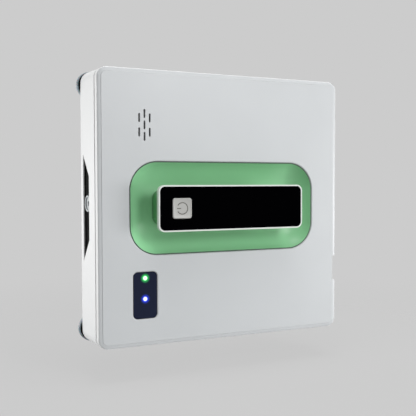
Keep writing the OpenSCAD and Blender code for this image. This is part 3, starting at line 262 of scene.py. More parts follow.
def circle(x, z, y, radius, steps=32):
    """Circle in a plane of constant y, in metres from mm."""
    turns = [2 * math.pi * i / steps for i in range(steps)]
    return [Vector((x + radius * math.cos(a), y, z + radius * math.sin(a))) * MM for a in turns]


def cut(target, cutters):
    """Cuts closed meshes out of a piece. The cut faces keep the cutters' material."""
    for tool in cutters:
        change = target.modifiers.new("cut", "BOOLEAN")
        change.object = tool
        change.solver = "EXACT"
        change.material_mode = "TRANSFER"
    mesh = settle(target)
    for tool in cutters:
        bpy.data.objects.remove(tool)
    smooth(mesh)


def cutter(name, rings, material):
    """A closed mesh that is only used to cut."""
    build = bmesh.new()
    loft(build, rings)
    bmesh.ops.recalc_face_normals(build, faces=build.faces)
    return object_of(name, build, material)


def outlines(mesh, y):
    """The closed outlines of a mesh's flat face at y, which faces +y.

    Each is in order, with the face on its left.
    """
    build = bmesh.new()
    build.from_mesh(mesh)
    bmesh.ops.remove_doubles(build, verts=build.verts, dist=WELD)
    flat = {face for face in build.faces if all(abs(v.co.y - y) < 10 * WELD for v in face.verts)}
    after = {}
    for face in flat:
        for corner in face.loops:
            if corner.link_loop_radial_next.face not in flat:
                after[corner.vert] = corner.link_loop_next.vert
    found = []
    while after:
        vert = next(iter(after))
        points = []
        while vert in after:
            points.append(vert.co.copy())
            vert = after.pop(vert)
        found.append(points)
    build.free()
    return found


def inset_outline(points, inset, y):
    """A closed outline moved in by inset and set at y. A mitre is at most twice as long as the inset."""
    moved = []
    for before, point, after in zip(points[-1:] + points[:-1], points, points[1:] + points[:1]):
        sides = [Vector((0, 1, 0)).cross(way).normalized() for way in (point - before, after - point)]
        mitre = (sides[0] + sides[1]).normalized()
        corner = point + mitre * inset / max(mitre.dot(sides[0]), 0.5)
        moved.append(Vector((corner.x, y, corner.z)))
    return moved


class CasingLooks(bpy.types.PropertyGroup):
    """Finishes of the casing."""

    cover: bpy.props.FloatVectorProperty(
        name="Cover", description="Colour of the lacquered front cover", subtype="COLOR", size=4,
        default=linear("#C9CCCE"), min=0, max=1,
    )
    housing: bpy.props.FloatVectorProperty(
        name="Housing", description="Colour of the moulded housing", subtype="COLOR", size=4,
        default=linear("#F1F2F2"), min=0, max=1,
    )
    edge: bpy.props.FloatProperty(
        name="Edge", description="Place of the lacquer's edge on the cover's rounded rim",
        default=-60.9 * MM, unit="LENGTH",
    )
    grip: bpy.props.FloatVectorProperty(
        name="Grip", description="Colour of the grip tray", subtype="COLOR", size=4,
        default=linear("#91CE9D"), min=0, max=1,
    )


class ButtonLooks(bpy.types.PropertyGroup):
    """Sizes of the power button's cap and its symbol."""

    rim: bpy.props.FloatProperty(
        name="Rim", description="Radius of the cap's rounded rim", default=1.0 * MM, unit="LENGTH"
    )
    dish: bpy.props.FloatProperty(
        name="Dish", description="Depth of the cap's face below its rim", default=0.15 * MM, unit="LENGTH"
    )
    ring: bpy.props.FloatProperty(
        name="Ring", description="Radius of the symbol's ring", default=5.15 * MM, unit="LENGTH"
    )
    line: bpy.props.FloatProperty(
        name="Line", description="Width of the symbol's lines", default=0.85 * MM, unit="LENGTH"
    )
    depth: bpy.props.FloatProperty(
        name="Depth", description="Depth of the symbol's lines", default=0.2 * MM, unit="LENGTH"
    )
    opening: bpy.props.FloatProperty(
        name="Opening", description="Half angle of the ring's opening", default=math.radians(31),
        subtype="ANGLE",
    )


class LampLooks(bpy.types.PropertyGroup):
    """Light of the two lamps."""

    glow: bpy.props.FloatProperty(
        name="Glow", description="Radius of the glow in the window round a lamp", default=5.0 * MM,
        unit="LENGTH",
    )
    lens: bpy.props.FloatProperty(
        name="Lens", description="Radius at which a lens shows its own colour", default=2.4 * MM,
        unit="LENGTH",
    )
    core: bpy.props.FloatProperty(
        name="Core", description="Radius of a lens's white middle", default=1.3 * MM, unit="LENGTH"
    )
    green: bpy.props.FloatVectorProperty(
        name="Green", description="Colour of the upper lamp", subtype="COLOR", size=4,
        default=linear("#3CE36A"), min=0, max=1,
    )
    blue: bpy.props.FloatVectorProperty(
        name="Blue", description="Colour of the lower lamp", subtype="COLOR", size=4,
        default=linear("#2348FF"), min=0, max=1,
    )


class MopLooks(bpy.types.PropertyGroup):
    """Pile and binding of the mop pad."""

    pitch: bpy.props.FloatProperty(
        name="Pitch", description="Distance between the rows of loops", default=3.2 * MM, unit="LENGTH"
    )
    pile: bpy.props.FloatProperty(
        name="Pile", description="Height of the loops", default=0.9 * MM, unit="LENGTH"
    )
    binding: bpy.props.FloatProperty(
        name="Binding", description="Width of the sewn edge tape", default=3.0 * MM, unit="LENGTH"
    )


class ScrewLooks(bpy.types.PropertyGroup):
    """Sizes of the case screws' heads."""

    head: bpy.props.FloatProperty(
        name="Head", description="Radius of a screw's head", default=2.9 * MM, unit="LENGTH"
    )
    recess: bpy.props.FloatProperty(
        name="Recess", description="Length of the cross recess", default=3.0 * MM, unit="LENGTH"
    )


class StageLooks(bpy.types.PropertyGroup):
    """Light level and background of the stage."""

    background: bpy.props.FloatVectorProperty(
        name="Background", description="Colour of the backdrop", subtype="COLOR", size=4,
        default=linear("#CCCCCC"), min=0, max=1,
    )
    drop: bpy.props.FloatProperty(
        name="Drop", description="Height of the object over the floor, as it hangs on its pane",
        default=30 * MM, min=0, unit="LENGTH",
    )
    ambient: bpy.props.FloatProperty(
        name="Ambient", description="Level of the light from all round", default=0.36, min=0
    )
    evenness: bpy.props.FloatProperty(
        name="Evenness", description="How much of the floor's brightness is even, which softens the shadow",
        default=0.85, min=0, max=1,
    )


class CasingOperator(bpy.types.Operator):
    """Finish the cover, the housing and the seam between them"""

    bl_idname = "robot.casing"
    bl_label = "Casing"

    def execute(self, context):
        looks = context.scene.robot_casing
        # ABS sprayed with a fine silver-grey lacquer: a soft sheen with faint flakes, 0.25 mm to show.
        # Only its front is sprayed, so its sides are the bare white of the housing.
        # Its edges are lightened strongly, as a painted highlight on the rounded rim and a little wear.
        cover = moulding(
            "abs_silver_lacquer", tuple(looks.cover), 0.42, grain=0.25, depth=0.004, edge=0.4, wear_and_highlight=0.4,
            bare=(tuple(looks.housing), looks.edge / MM),
            **{"Coat Weight": 0.2, "Coat Roughness": 0.3, "Specular IOR Level": 0.35},
        )
        # White ABS from a spark-eroded mould: an even, slightly matt skin.
        housing = moulding(
            "abs_white_moulded", tuple(looks.housing), 0.38, grain=0.35, depth=0.006, edge=0.5
        )
        # Grey rubber cord pressed into the seam: dull, and darker than both shells.
        seam = moulding("rubber_grey_extruded", "#3C3E40", 0.75, grain=0.5, depth=0.015)
        finish(cover, "top_cover")
        finish(housing, "lower_housing")
        finish(seam, "seam_gasket")
        return {"FINISHED"}


class GripOperator(bpy.types.Operator):
    """Finish the grip tray, the handle's stem, frame and panel"""

    bl_idname = "robot.grip"
    bl_label = "Grip"

    def execute(self, context):
        looks = context.scene.robot_casing
        # In mm: the tray's front, and how far behind it the painted shadow along its rim reaches.
        front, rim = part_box("grip_tray")[0].y / MM, 0.15
        # Green ABS with a satin mould skin: soft highlights that follow the tray's curve.
        # Its thin rim at the joint to the cover is painted dark green, as the shadow in that gap.
        grip = moulding(
            "abs_green_satin", "#3F5A48", 0.36, grain=0.4, depth=0.006, edge=0.2, wear_and_highlight=0.1,
            bare=(tuple(looks.grip), front + rim),
        )
        # Green ABS from a mould, a little darker than the tray: a plain satin skin.
        stem = moulding("abs_green_moulded", "#5F9C68", 0.4, grain=0.4, depth=0.006, edge=0.6, wear_and_highlight=0.2)
        # White ABS polished in the mould: a bright thin rim round the panel.
        frame_white = moulding(
            "abs_white_polished", "#E2E6E2", 0.22, grain=0.6, depth=0.003, edge=0.3, wear_and_highlight=0.3
        )
        # Black acrylic, polished: deep and even, with no lamp mirrored in it.
        panel = moulding(
            "acrylic_black_polished", "#020203", 0.06, grain=2.0, depth=0.001, edge=0.2, wear_and_highlight=0.02,
            **{"IOR": 1.49, "Specular IOR Level": 0.0},
        )
        finish(grip, "grip_tray")
        finish(stem, "handle_stem")
        finish(frame_white, "handle_frame")
        finish(panel, "handle_panel")
        return {"FINISHED"}


class ButtonOperator(bpy.types.Operator):
    """Build the power button's cap with its engraved symbol, and finish its switch"""

    bl_idname = "robot.power_button"
    bl_label = "Power button"

    def execute(self, context):
        looks = context.scene.robot_button
        low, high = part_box("power_button")
        x, z = (low.x + high.x) / 2 / MM, (low.z + high.z) / 2 / MM
        top, back = low.y / MM, high.y / MM
        rim, dish = looks.rim / MM, looks.dish / MM
        # In mm: the flange reaches out past the cap, and its front stands off the panel.
        flange, reach, stand_off = (high.x - low.x) / 2 / MM, 1.2, 0.1
        side = flange - reach
        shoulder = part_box("handle_panel")[1].y / MM + stand_off
        # The hollow in the back takes the plunger's end. Every outline has the corner's radius.
        hollow, hollow_depth, corner = 6.0, 0.4, 2.4
        # The face slopes down into its dish over this width, and its corners keep at least this radius.
        slope, least = 0.35, 0.6
        rim_steps, slope_steps, arc_steps = 6, 3, 40
        # Silver-grey lacquer on ABS: satin, a little warmer than the cover.
        skin = moulding(
            "abs_button_lacquer", "#ADADAA", 0.4, grain=0.3, depth=0.006, edge=0.15, wear_and_highlight=0.2, Metallic=0.2
        )
        # Grey ink wiped into the engraved lines: matt and darker than the cap.
        ink = moulding("ink_grey_wiped", "#66665F", 0.7, grain=0.3, depth=0.01)
        rings = [
            rounded_square(x, z, back - hollow_depth, hollow, corner),
            rounded_square(x, z, back, hollow, corner),
            rounded_square(x, z, back, flange, corner),
            rounded_square(x, z, shoulder, flange, corner),
            rounded_square(x, z, shoulder, side, corner),
        ]
        for i in range(rim_steps + 1):
            a = math.radians(90 * i / rim_steps)
            inset = rim * (1 - math.cos(a))
            rings.append(rounded_square(x, z, top + rim * (1 - math.sin(a)), side - inset, corner - inset))
        for i in range(1, slope_steps + 1):
            inset = rim + slope * i / slope_steps
            sunk = dish * (1 - math.cos(math.pi * i / slope_steps)) / 2
            rings.append(rounded_square(x, z, top + sunk, side - inset, max(corner - inset, least)))
        build = bmesh.new()
        loft(build, rings)
        cap = piece("power_button_cap", build, "power_button", "button_silver", skin, ink)
        # The symbol is a ring with an opening on the left and a bar in the opening.
        ring, half_line = looks.ring / MM, looks.line / MM / 2
        start, sweep = math.pi + looks.opening, 2 * math.pi - 2 * looks.opening
        arc = [start + sweep * i / arc_steps for i in range(arc_steps + 1)]
        outline = [
            (x + radius * math.cos(a), z + radius * math.sin(a))
            for radius, turns in ((ring + half_line, arc), (ring - half_line, arc[::-1]))
            for a in turns
        ]
        left, right = x - ring, x - ring / 4
        bar = [(left, z - half_line), (left, z + half_line), (right, z + half_line), (right, z - half_line)]
        depths = (top - OVERRUN, top + dish + looks.depth / MM)
        cutters = [
            cutter(name, [[Vector((px, y, pz)) * MM for px, pz in shape] for y in depths], ink)
            for name, shape in (("symbol_ring", outline), ("symbol_bar", bar))
        ]
        cut(cap, cutters)
        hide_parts("power_button")
        # Black ABS from a mould, for the plunger and the switch's body: dark, with a satin skin.
        finish(moulding("abs_black_satin", "#202022", 0.5), "switch_plunger", "button_switch")
        return {"FINISHED"}


class IndicatorOperator(bpy.types.Operator):
    """Finish the indicator window and light its two lamps"""

    bl_idname = "robot.indicator"
    bl_label = "Indicator"

    def window(self, looks, lamps):
        """Material of the window, lit round each lamp."""
        # Smoked polycarbonate, moulded: dark and glossy, lit where a lamp's light spreads in the sheet.
        material, tree, place = new_material("polycarbonate_smoked_moulded")
        glow = BLACK
        for colour, front in lamps.values():
            away = add(tree, "ShaderNodeVectorMath", {0: place, 1: front}, operation="DISTANCE")
            spread = {"Value": away.outputs["Value"], "From Min": looks.glow, "From Max": looks.lens}
            near = add(tree, "ShaderNodeMapRange", spread, interpolation_type="SMOOTHERSTEP").outputs[0]
            tint = {SHARE: near, FIRST: BLACK, SECOND: colour}
            lit = add(tree, "ShaderNodeMix", tint, data_type="RGBA").outputs[MIXED]
            both = {SHARE: 1.0, FIRST: glow, SECOND: lit}
            glow = add(tree, "ShaderNodeMix", both, data_type="RGBA", blend_type="ADD").outputs[MIXED]
        rounded = add(tree, "ShaderNodeBevel", {"Radius": 0.3 * MM}, samples=4).outputs[0]
        # Its polish varies in patches 11 mm wide, as 90 of them to the metre are.
        haze = add(tree, "ShaderNodeTexNoise", {"Vector": place, "Scale": 90.0}).outputs[0]
        polish = add(tree, "ShaderNodeMapRange", {"Value": haze, "To Min": 0.1, "To Max": 0.2}).outputs[0]
        surface = {
            "Base Color": linear("#1E2336"), "Roughness": polish, "Normal": rounded, "IOR": 1.58,
            "Specular IOR Level": 0.05, "Emission Color": glow, "Emission Strength": 0.45,
        }
        shader = add(tree, "ShaderNodeBsdfPrincipled", surface).outputs[0]
        add(tree, "ShaderNodeOutputMaterial", {"Surface": shader})
        return material

    def lens(self, looks, name, colour, front):
        """Material of a lit lamp."""
        # Cast epoxy lens over a lit die: its middle burns out to white.
        material, tree, place = new_material("epoxy_cast_" + name)
        away = add(tree, "ShaderNodeVectorMath", {0: place, 1: front}, operation="DISTANCE")
        inward = {"Value": away.outputs["Value"], "From Min": looks.lens, "From Max": looks.core}
        hot = add(tree, "ShaderNodeMapRange", inward).outputs[0]
        power = add(tree, "ShaderNodeMapRange", {"Value": hot, "To Min": 0.35, "To Max": 1.5}).outputs[0]
        tint = {SHARE: hot, FIRST: colour, SECOND: WHITE}
        light = add(tree, "ShaderNodeMix", tint, data_type="RGBA").outputs[MIXED]
        surface = {
            "Base Color": colour, "Roughness": 0.15, "IOR": 1.54,
            "Emission Color": light, "Emission Strength": power,
        }
        shader = add(tree, "ShaderNodeBsdfPrincipled", surface).outputs[0]
        add(tree, "ShaderNodeOutputMaterial", {"Surface": shader})
        return material

    def execute(self, context):
        looks = context.scene.robot_lamps
        lamps = {}
        for name, colour in (("green_lamp", looks.green), ("blue_lamp", looks.blue)):
            low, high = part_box(name)
            lamps[name] = (tuple(colour), ((low.x + high.x) / 2, low.y, (low.z + high.z) / 2))
        finish(self.window(looks, lamps), "indicator_window")
        for name, (colour, front) in lamps.items():
            finish(self.lens(looks, name, colour, front), name)
        return {"FINISHED"}


class SideOperator(bpy.types.Operator):
    """Finish the side slots, spray nozzles and power inlet"""

    bl_idname = "robot.sides"
    bl_label = "Sides"

    def execute(self, context):
        # Black ABS, moulded with a matt skin: it swallows the light in the slots.
        liner = moulding(
            "abs_black_moulded", "#050506", 0.7, grain=0.35, depth=0.012, wear_and_highlight=0.01,
            **{"Specular IOR Level": 0.1},
        )
        # Light grey polypropylene, moulded: smooth, slightly waxy.
        nozzle = moulding("polypropylene_grey_moulded", "#C3C8CA", 0.35, grain=0.6, depth=0.003)
        finish(liner, "side_vent_left", "side_vent_right", "power_inlet", "sounder")
        finish(nozzle, "spray_nozzle_left", "spray_nozzle_right")
        return {"FINISHED"}


class RollerOperator(bpy.types.Operator):
    """Finish the corner rollers, their soft tyres and pins"""

    bl_idname = "robot.rollers"
    bl_label = "Corner rollers"

    def execute(self, context):
        corners = [f"{v}_{h}" for v in ("top", "bottom") for h in ("left", "right")]
        # Black acetal, turned: a low, even shine that leaves the disc black.
        disc = moulding(
            "acetal_black_turned", "#070708", 0.45, grain=0.4, depth=0.006,
            **{"Specular IOR Level": 0.15},
        )
        # Milky grey-blue thermoplastic rubber, moulded: light bleeds a little way into it.
        tyre = moulding(
            "rubber_milky_moulded", "#8E9BA3", 0.45, grain=0.5, depth=0.01,
            **{"Subsurface Weight": 0.3, "Subsurface Scale": 0.002},
        )
        # Zinc-plated steel, turned: a fine grain and a cool shine.
        steel = moulding(
            "steel_zinc_turned", "#B9BCBE", 0.28, grain=0.25, depth=0.006, wear_and_highlight=0.2, Metallic=1.0
        )
        finish(disc, *(f"roller_{c}" for c in corners))
        finish(tyre, *(f"tyre_{c}" for c in corners))
        finish(steel, "roller_pins", "idler_axles", "fan_shaft", "handle_screws")
        return {"FINISHED"}


class TrackOperator(bpy.types.Operator):
    """Finish the track belts, wheels, gears and motors"""

    bl_idname = "robot.tracks"
    bl_label = "Tracks"

    def execute(self, context):
        ends = ("upper", "lower")
        # Black nitrile rubber from a mould: dull, its edges lightened as wear and a painted highlight.
        belt = moulding("rubber_black_moulded", "#1D1E20", 0.8, grain=0.4, depth=0.03, edge=0.3, wear_and_highlight=0.12)
        # Grey glass-filled nylon, moulded: matt with a faint fibre grain.
        wheel = moulding("nylon_grey_moulded", "#4A4D51", 0.55, grain=0.3, depth=0.02, stretch=(1, 1, 0.4))
        # Natural acetal, hobbed: cream, smooth flanks.
        pinion = moulding("acetal_natural_hobbed", "#D8D2C2", 0.35, grain=0.4, depth=0.004)
        # Deep-drawn steel cans: bright, with fine upright lines.
        can = moulding(
            "steel_drawn_can", "#9EA1A4", 0.3, grain=0.3, depth=0.006, stretch=(1, 1, 0.1), wear_and_highlight=0.2,
            Metallic=1.0,
        )
        finish(belt, *(f"track_belt_{e}" for e in ends))
        finish(wheel, *(f"{k}_wheel_{e}" for k in ("drive", "idler") for e in ends))
        finish(pinion, *(f"motor_pinion_{e}" for e in ends))
        finish(can, "fan_motor", *(f"track_motor_{e}" for e in ends))
        return {"FINISHED"}


class BaseOperator(bpy.types.Operator):
    """Finish the base plate, suction grille, fan, lip and mop frame"""

    bl_idname = "robot.base"
    bl_label = "Base and suction"

    def execute(self, context):
        # Charcoal ABS, spark-eroded: an even matt skin with soft edges.
        base = moulding(
            "abs_charcoal_textured", "#2B2D30", 0.58, grain=0.5, depth=0.03, edge=0.5, wear_and_highlight=0.08
        )
        # Black silicone rubber, moulded: a soft sheen.
        lip = moulding("silicone_black_moulded", "#1F2023", 0.5, grain=0.5, depth=0.008)
        # Grey ABS, spark-eroded, for the mop's carrier: matt and even.
        carrier = moulding("abs_grey_textured", "#8B8F92", 0.55, grain=0.5, depth=0.02)
        finish(base, "base_plate", "fan_casing", "fan_impeller", "battery_cradle", "water_pump")
        finish(lip, "suction_lip", "suction_grille")
        finish(carrier, "mop_frame")
        return {"FINISHED"}


class InsideOperator(bpy.types.Operator):
    """Finish the boards, cells, tank, plug and tubes"""

    bl_idname = "robot.inside"
    bl_label = "Inside"

    def execute(self, context):
        # Fibreglass board printed with a green solder mask: glossy, with the mottle of tracks under it.
        board = moulding("fibreglass_green_printed", "#1F6B3C", 0.3, grain=1.2, depth=0.02)
        # Heat-shrunk blue PVC round the cells: glossy and tight.
        wrap = moulding("pvc_blue_shrunk", "#2F62A8", 0.25, grain=1.5, depth=0.01)
        # Frosted polypropylene, blown: milky, and light passes through it.
        tank = moulding(
            "polypropylene_frosted_blown", "#DDE6EA", 0.4, grain=0.8, depth=0.01,
            **{"Transmission Weight": 0.5, "IOR": 1.49},
        )
        # Grey silicone rubber, moulded: dull and soft.
        plug = moulding("silicone_grey_moulded", "#5C6165", 0.55, grain=0.5, depth=0.01)
        # Milky silicone rubber, extruded: smooth, with a soft sheen.
        tube = moulding("silicone_milky_extruded", "#CFD9DD", 0.4, grain=0.8, depth=0.004)
        finish(board, "main_board", "lamp_board", "button_board")
        finish(wrap, "battery_cells")
        finish(tank, "water_tank")
        finish(plug, "filler_plug")
        finish(tube, "water_tubes")
        return {"FINISHED"}


class ScrewOperator(bpy.types.Operator):
    """Build the case screws with domed heads and cross recesses"""

    bl_idname = "robot.screws"
    bl_label = "Case screws"

    def execute(self, context):
        looks = context.scene.robot_screws
        low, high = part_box("case_screws")
        base, tip = high.y / MM, low.y / MM
        head, arm = looks.head / MM, looks.recess / MM / 2
        # In mm: each side has two screws, this far out from the robot's middle and from the side's own.
        outer, span = high.x / MM - head, 84.0
        # Radius of the shank, length of its point and the point's share of the radius at the tip.
        shank, point, tip_share = 1.5, 1.2, 0.6
        # Depth of the head and height of its dome.
        thick, dome = 1.8, 0.6
        # Half the recess's width, its depth, its draft as shares of its size, and the cutters' overrun.
        wide, sunk, floor_share, mouth_share, past = 0.45, 1.3, 0.55, 1.05, 0.3
        # Zinc-plated steel, cold-headed: bright, with a fine rolled texture.
        steel = moulding(
            "steel_zinc_headed", "#C2C5C6", 0.25, grain=0.25, depth=0.005, wear_and_highlight=0.2, Metallic=1.0
        )
        sides = [(sx, sz) for sx in (-1, 1) for sz in (-1, 1)]
        places = [(sx * a, sz * b) for a, b in ((outer, span), (span, outer)) for sx, sz in sides]
        for number, (x, z) in enumerate(places):
            rings = [
                circle(x, z, tip, shank * tip_share),
                circle(x, z, tip + point, shank),
                circle(x, z, base - thick, shank),
                circle(x, z, base - thick, head),
            ]
            # Rings of the dome by their angle. They close by nine tenths of it, which leaves a flat top.
            for degrees in (0, 20, 40, 60, 75, 86):
                rise = dome * math.sin(math.radians(degrees))
                rings.append(circle(x, z, base - dome + rise, head * math.cos(math.radians(degrees * 0.9))))
            build = bmesh.new()
            loft(build, rings)
            screw = piece(f"case_screw_{number + 1}", build, "casing", "steel", steel)
            cutters = []
            for turn, (u, v) in enumerate(((arm, wide), (wide, arm))):
                rings = [
                    [Vector((x + a * u * share, y, z + b * v * share)) * MM for a, b in QUARTERS]
                    for y, share in ((base - sunk, floor_share), (base + past, mouth_share))
                ]
                cutters.append(cutter(f"recess_{number}_{turn}", rings, steel))
            cut(screw, cutters)
            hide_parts("case_screws")
        return {"FINISHED"}


class MopOperator(bpy.types.Operator):
    """Build the mop pad's looped pile and its sewn edge tape"""

    bl_idname = "robot.mop"
    bl_label = "Mop pad"

    def microfibre(self):
        """Material of the pile."""
        # Microfibre, tufted in loops: matt, with a soft sheen at its edges and clumps a little darker.
        # Tufts are 1.1 mm wide and clumps 6 mm, as 900 and 160 to the metre are. They are drawn coarse.
        material, tree, place = new_material("microfibre_looped")
        tuft = add(tree, "ShaderNodeTexNoise", {"Vector": place, "Scale": 900.0, "Detail": 4.0}).outputs[0]
        clump = add(tree, "ShaderNodeTexNoise", {"Vector": place, "Scale": 160.0, "Detail": 2.0}).outputs[0]
        tones = {SHARE: clump, FIRST: linear("#E6E9E8"), SECOND: linear("#C9CFCE")}
        weave = add(tree, "ShaderNodeMix", tones, data_type="RGBA").outputs[MIXED]
        relief = {"Height": tuft, "Distance": 0.3 * MM, "Strength": 1.0}
        bump = add(tree, "ShaderNodeBump", relief).outputs[0]
        surface = {
            "Base Color": weave, "Roughness": 0.95, "Normal": bump, "Sheen Weight": 0.4,
            "Sheen Roughness": 0.5, "Specular IOR Level": 0.2,
        }
        shader = add(tree, "ShaderNodeBsdfPrincipled", surface).outputs[0]
        add(tree, "ShaderNodeOutputMaterial", {"Surface": shader})
        return material

    def pile(self, looks, middle):
        """The pad, with rows of loops on the half from y = middle to the glass."""
        build = bmesh.new()
        build.from_mesh(NODES["mop_pad"].data)
        bmesh.ops.remove_doubles(build, verts=build.verts, dist=WELD)
        pad = piece("mop_pad_pile", build, "casing", "microfibre", self.microfibre())
        change = pad.modifiers.new("remesh", "REMESH")
        change.mode = "VOXEL"
        change.voxel_size = 1.1 * MM
        mesh = settle(pad)
        # Gaps between loops are this share of the pile deep, more or less by the ragged share of it.
        # It varies in tangles 2.4 mm wide, as 420 to the metre are.
        depth_share, ragged_share, tangles = 0.8, 0.35, 420
        for vertex in mesh.vertices:
            p = vertex.co
            row = math.floor(p.z / looks.pitch)
            across = abs(math.sin(math.pi * (p.x / looks.pitch + 0.5 * (row % 2))))
            loop = abs(math.sin(math.pi * p.z / looks.pitch)) * across
            ragged = noise.noise(p * tangles) * ragged_share
            if p.y > middle:
                p.y -= looks.pile * (1 - loop) * (depth_share + ragged)
        mesh.polygons.foreach_set("use_smooth", [True] * len(mesh.polygons))
        return pad

    def tape(self, looks, front, back):
        """The tape that binds the pad's edges, from y = front to y = back."""
        # Woven polyester, folded over the edge and sewn: dull, its ribs 0.8 mm apart.
        woven = moulding("tape_polyester_woven", "#A9B1B2", 0.85, grain=0.8, depth=0.05, wear_and_highlight=0.1)
        # The fold's outline as (inset from the pad's edge, y). It stands out by the bulge.
        wide, bulge = looks.binding, 0.3 * MM
        profile = (
            (wide, front), (bulge, front), (-bulge, front + 3 * bulge), (-bulge, back - 3 * bulge),
            (bulge, back), (wide, back), (wide, back - 2 * bulge), (2 * bulge, back - 3 * bulge),
            (2 * bulge, front + 3 * bulge), (wide, front + 2 * bulge),
        )
        build = bmesh.new()
        for points in outlines(NODES["mop_pad"].data, back):
            loft(build, [inset_outline(points, inset, y) for inset, y in profile], closed=True)
        return piece("mop_pad_tape", build, "casing", "microfibre", woven)

    def execute(self, context):
        looks = context.scene.robot_mop
        low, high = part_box("mop_pad")
        pad = self.pile(looks, (low.y + high.y) / 2)
        binding = self.tape(looks, low.y, high.y)
        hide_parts("mop_pad")
        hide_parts("mop_pad")
        return {"FINISHED"}


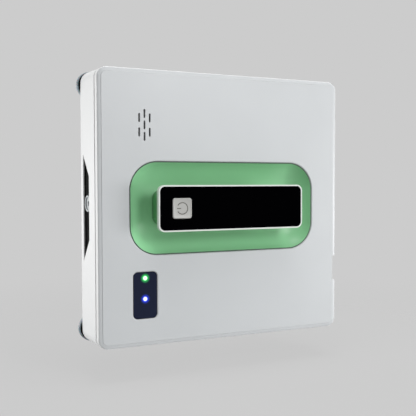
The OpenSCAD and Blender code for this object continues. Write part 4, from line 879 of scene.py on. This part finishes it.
class StageOperator(bpy.types.Operator):
    """Set up the floor, the lights, the backdrop and the camera"""

    bl_idname = "robot.stage"
    bl_label = "Stage"

    def card(self, looks):
        """Material of the floor."""
        # Radii between which it fades, in metres.
        inner, outer = 0.25, 0.7
        # Pale card, pressed matt: it fades into the backdrop towards its edge and is clear from below.
        material, tree, place = new_material("card_pale_pressed")
        away = add(tree, "ShaderNodeVectorMath", {0: place}, operation="LENGTH").outputs["Value"]
        outward = {"Value": away, "From Min": inner, "From Max": outer}
        fade = add(tree, "ShaderNodeMapRange", outward, interpolation_type="SMOOTHSTEP").outputs[0]
        lit = add(tree, "ShaderNodeBsdfDiffuse", {"Color": looks.background}).outputs[0]
        even = add(tree, "ShaderNodeEmission", {"Color": looks.background}).outputs[0]
        seen = add(tree, "ShaderNodeLightPath").outputs["Is Camera Ray"]
        share = add(tree, "ShaderNodeMath", {0: seen, 1: looks.evenness}, operation="MULTIPLY").outputs[0]
        top = add(tree, "ShaderNodeMixShader", {0: share, 1: lit, 2: even}).outputs[0]
        clear = add(tree, "ShaderNodeBsdfTransparent").outputs[0]
        under = add(tree, "ShaderNodeNewGeometry").outputs["Backfacing"]
        gone = add(tree, "ShaderNodeMath", {0: fade, 1: under}, operation="MAXIMUM").outputs[0]
        shader = add(tree, "ShaderNodeMixShader", {0: gone, 1: top, 2: clear}).outputs[0]
        add(tree, "ShaderNodeOutputMaterial", {"Surface": shader})
        return material

    def floor(self, looks):
        """A disc of card under the object."""
        radius, steps = 0.9, 96
        build = bmesh.new()
        bmesh.ops.create_circle(build, cap_ends=True, segments=steps, radius=radius)
        bmesh.ops.translate(build, verts=build.verts, vec=(0, 0, CAD_BOX[0].z - looks.drop))
        object_of("floor", build, self.card(looks))

    def backdrop(self, scene, looks):
        """A plain colour where it is seen, in mirrors and through glass too, and a dim even light."""
        world = bpy.data.worlds.new("backdrop")
        scene.world = world
        world.use_nodes = True
        tree = world.node_tree
        tree.nodes.clear()
        path = add(tree, "ShaderNodeLightPath").outputs
        seen = path["Is Camera Ray"]
        for other in ("Is Glossy Ray", "Is Transmission Ray"):
            seen = add(tree, "ShaderNodeMath", {0: seen, 1: path[other]}, operation="MAXIMUM").outputs[0]
        plain = add(tree, "ShaderNodeBackground", {"Color": looks.background, "Strength": 1.0}).outputs[0]
        ambient = add(tree, "ShaderNodeBackground", {"Color": WHITE, "Strength": looks.ambient}).outputs[0]
        mixed = add(tree, "ShaderNodeMixShader", {0: seen, 1: ambient, 2: plain}).outputs[0]
        add(tree, "ShaderNodeOutputWorld", {"Surface": mixed})

    def lamps(self, scene):
        """Four soft lamps. The top one is as bright as the white roof allows."""
        # name, place, aim, size in metres, power in watts
        rows = (
            ("key_right", (0.45, -1.35, 0.5), (0.0, -0.06, 0.0), 0.5, 7.0),
            ("top_soft", (0.0, -0.25, 1.2), (0.0, -0.05, 0.0), 0.8, 7.8),
            ("rim_left", (-1.25, 1.0, 0.0), (-0.1, -0.03, 0.0), 0.6, 15.5),
            ("fill_right", (0.9, -0.55, -0.04), (0.0, -0.05, -0.05), 0.35, 4.9),
        )
        for name, place, aim, size, power in rows:
            light = bpy.data.lights.new(name, "AREA")
            light.shape = "DISK"
            light.size = size
            light.energy = power
            lamp = bpy.data.objects.new(name, light)
            lamp.location = place
            lamp.rotation_euler = (Vector(aim) - Vector(place)).to_track_quat("-Z", "Y").to_euler()
            scene.collection.objects.link(lamp)

    def camera(self, scene):
        """The camera, fitted to the straight edges that show."""
        place, focal = (-0.28041, -0.63332, 0.02247), 57.96
        yaw, pitch, roll = (math.radians(a) for a in (24.574, -2.114, -0.129))
        level = math.cos(pitch)
        ahead = Vector((math.sin(yaw) * level, math.cos(yaw) * level, math.sin(pitch)))
        side = Vector((math.cos(yaw), -math.sin(yaw), 0))
        above = side.cross(ahead)
        right = math.cos(roll) * side + math.sin(roll) * above
        up = math.cos(roll) * above - math.sin(roll) * side
        data = bpy.data.cameras.new("camera")
        data.lens = focal
        data.clip_start, data.clip_end = 0.01, 20
        camera = bpy.data.objects.new("camera", data)
        scene.collection.objects.link(camera)
        turn = Matrix((right, up, -ahead)).transposed().to_4x4()
        camera.matrix_world = Matrix.Translation(place) @ turn
        scene.camera = camera

    def execute(self, context):
        scene = context.scene
        looks = scene.robot_stage
        scene.view_settings.view_transform = "Standard"
        self.floor(looks)
        self.backdrop(scene, looks)
        self.lamps(scene)
        self.camera(scene)
        return {"FINISHED"}


GROUPS = {
    "robot_casing": CasingLooks,
    "robot_button": ButtonLooks,
    "robot_lamps": LampLooks,
    "robot_mop": MopLooks,
    "robot_screws": ScrewLooks,
    "robot_stage": StageLooks,
}
OPERATORS = (
    CasingOperator,
    GripOperator,
    ButtonOperator,
    IndicatorOperator,
    SideOperator,
    RollerOperator,
    TrackOperator,
    BaseOperator,
    InsideOperator,
    ScrewOperator,
    MopOperator,
    StageOperator,
)


class RobotPanel(bpy.types.Panel):
    """Lists the robot's pieces"""

    bl_idname = "VIEW3D_PT_robot"
    bl_label = "Window cleaning robot"
    bl_space_type = "VIEW_3D"
    bl_region_type = "UI"
    bl_category = "Robot"

    def draw(self, context):
        for name, group in GROUPS.items():
            box = self.layout.box()
            box.label(text=group.__doc__)
            for key in group.__annotations__:
                box.prop(getattr(context.scene, name), key)
        for operator in OPERATORS:
            self.layout.operator(operator.bl_idname)


def register():
    for kind in (*GROUPS.values(), *OPERATORS, RobotPanel):
        bpy.utils.register_class(kind)
    for name, group in GROUPS.items():
        setattr(bpy.types.Scene, name, bpy.props.PointerProperty(type=group))


def unregister():
    for name in GROUPS:
        delattr(bpy.types.Scene, name)
    for kind in (RobotPanel, *reversed(OPERATORS), *reversed(GROUPS.values())):
        bpy.utils.unregister_class(kind)


def main():
    """Registers the classes and builds every piece in order."""
    register()
    for operator in OPERATORS:
        getattr(bpy.ops.robot, operator.bl_idname.split(".")[1])()


if __name__ == "__main__":
    main()
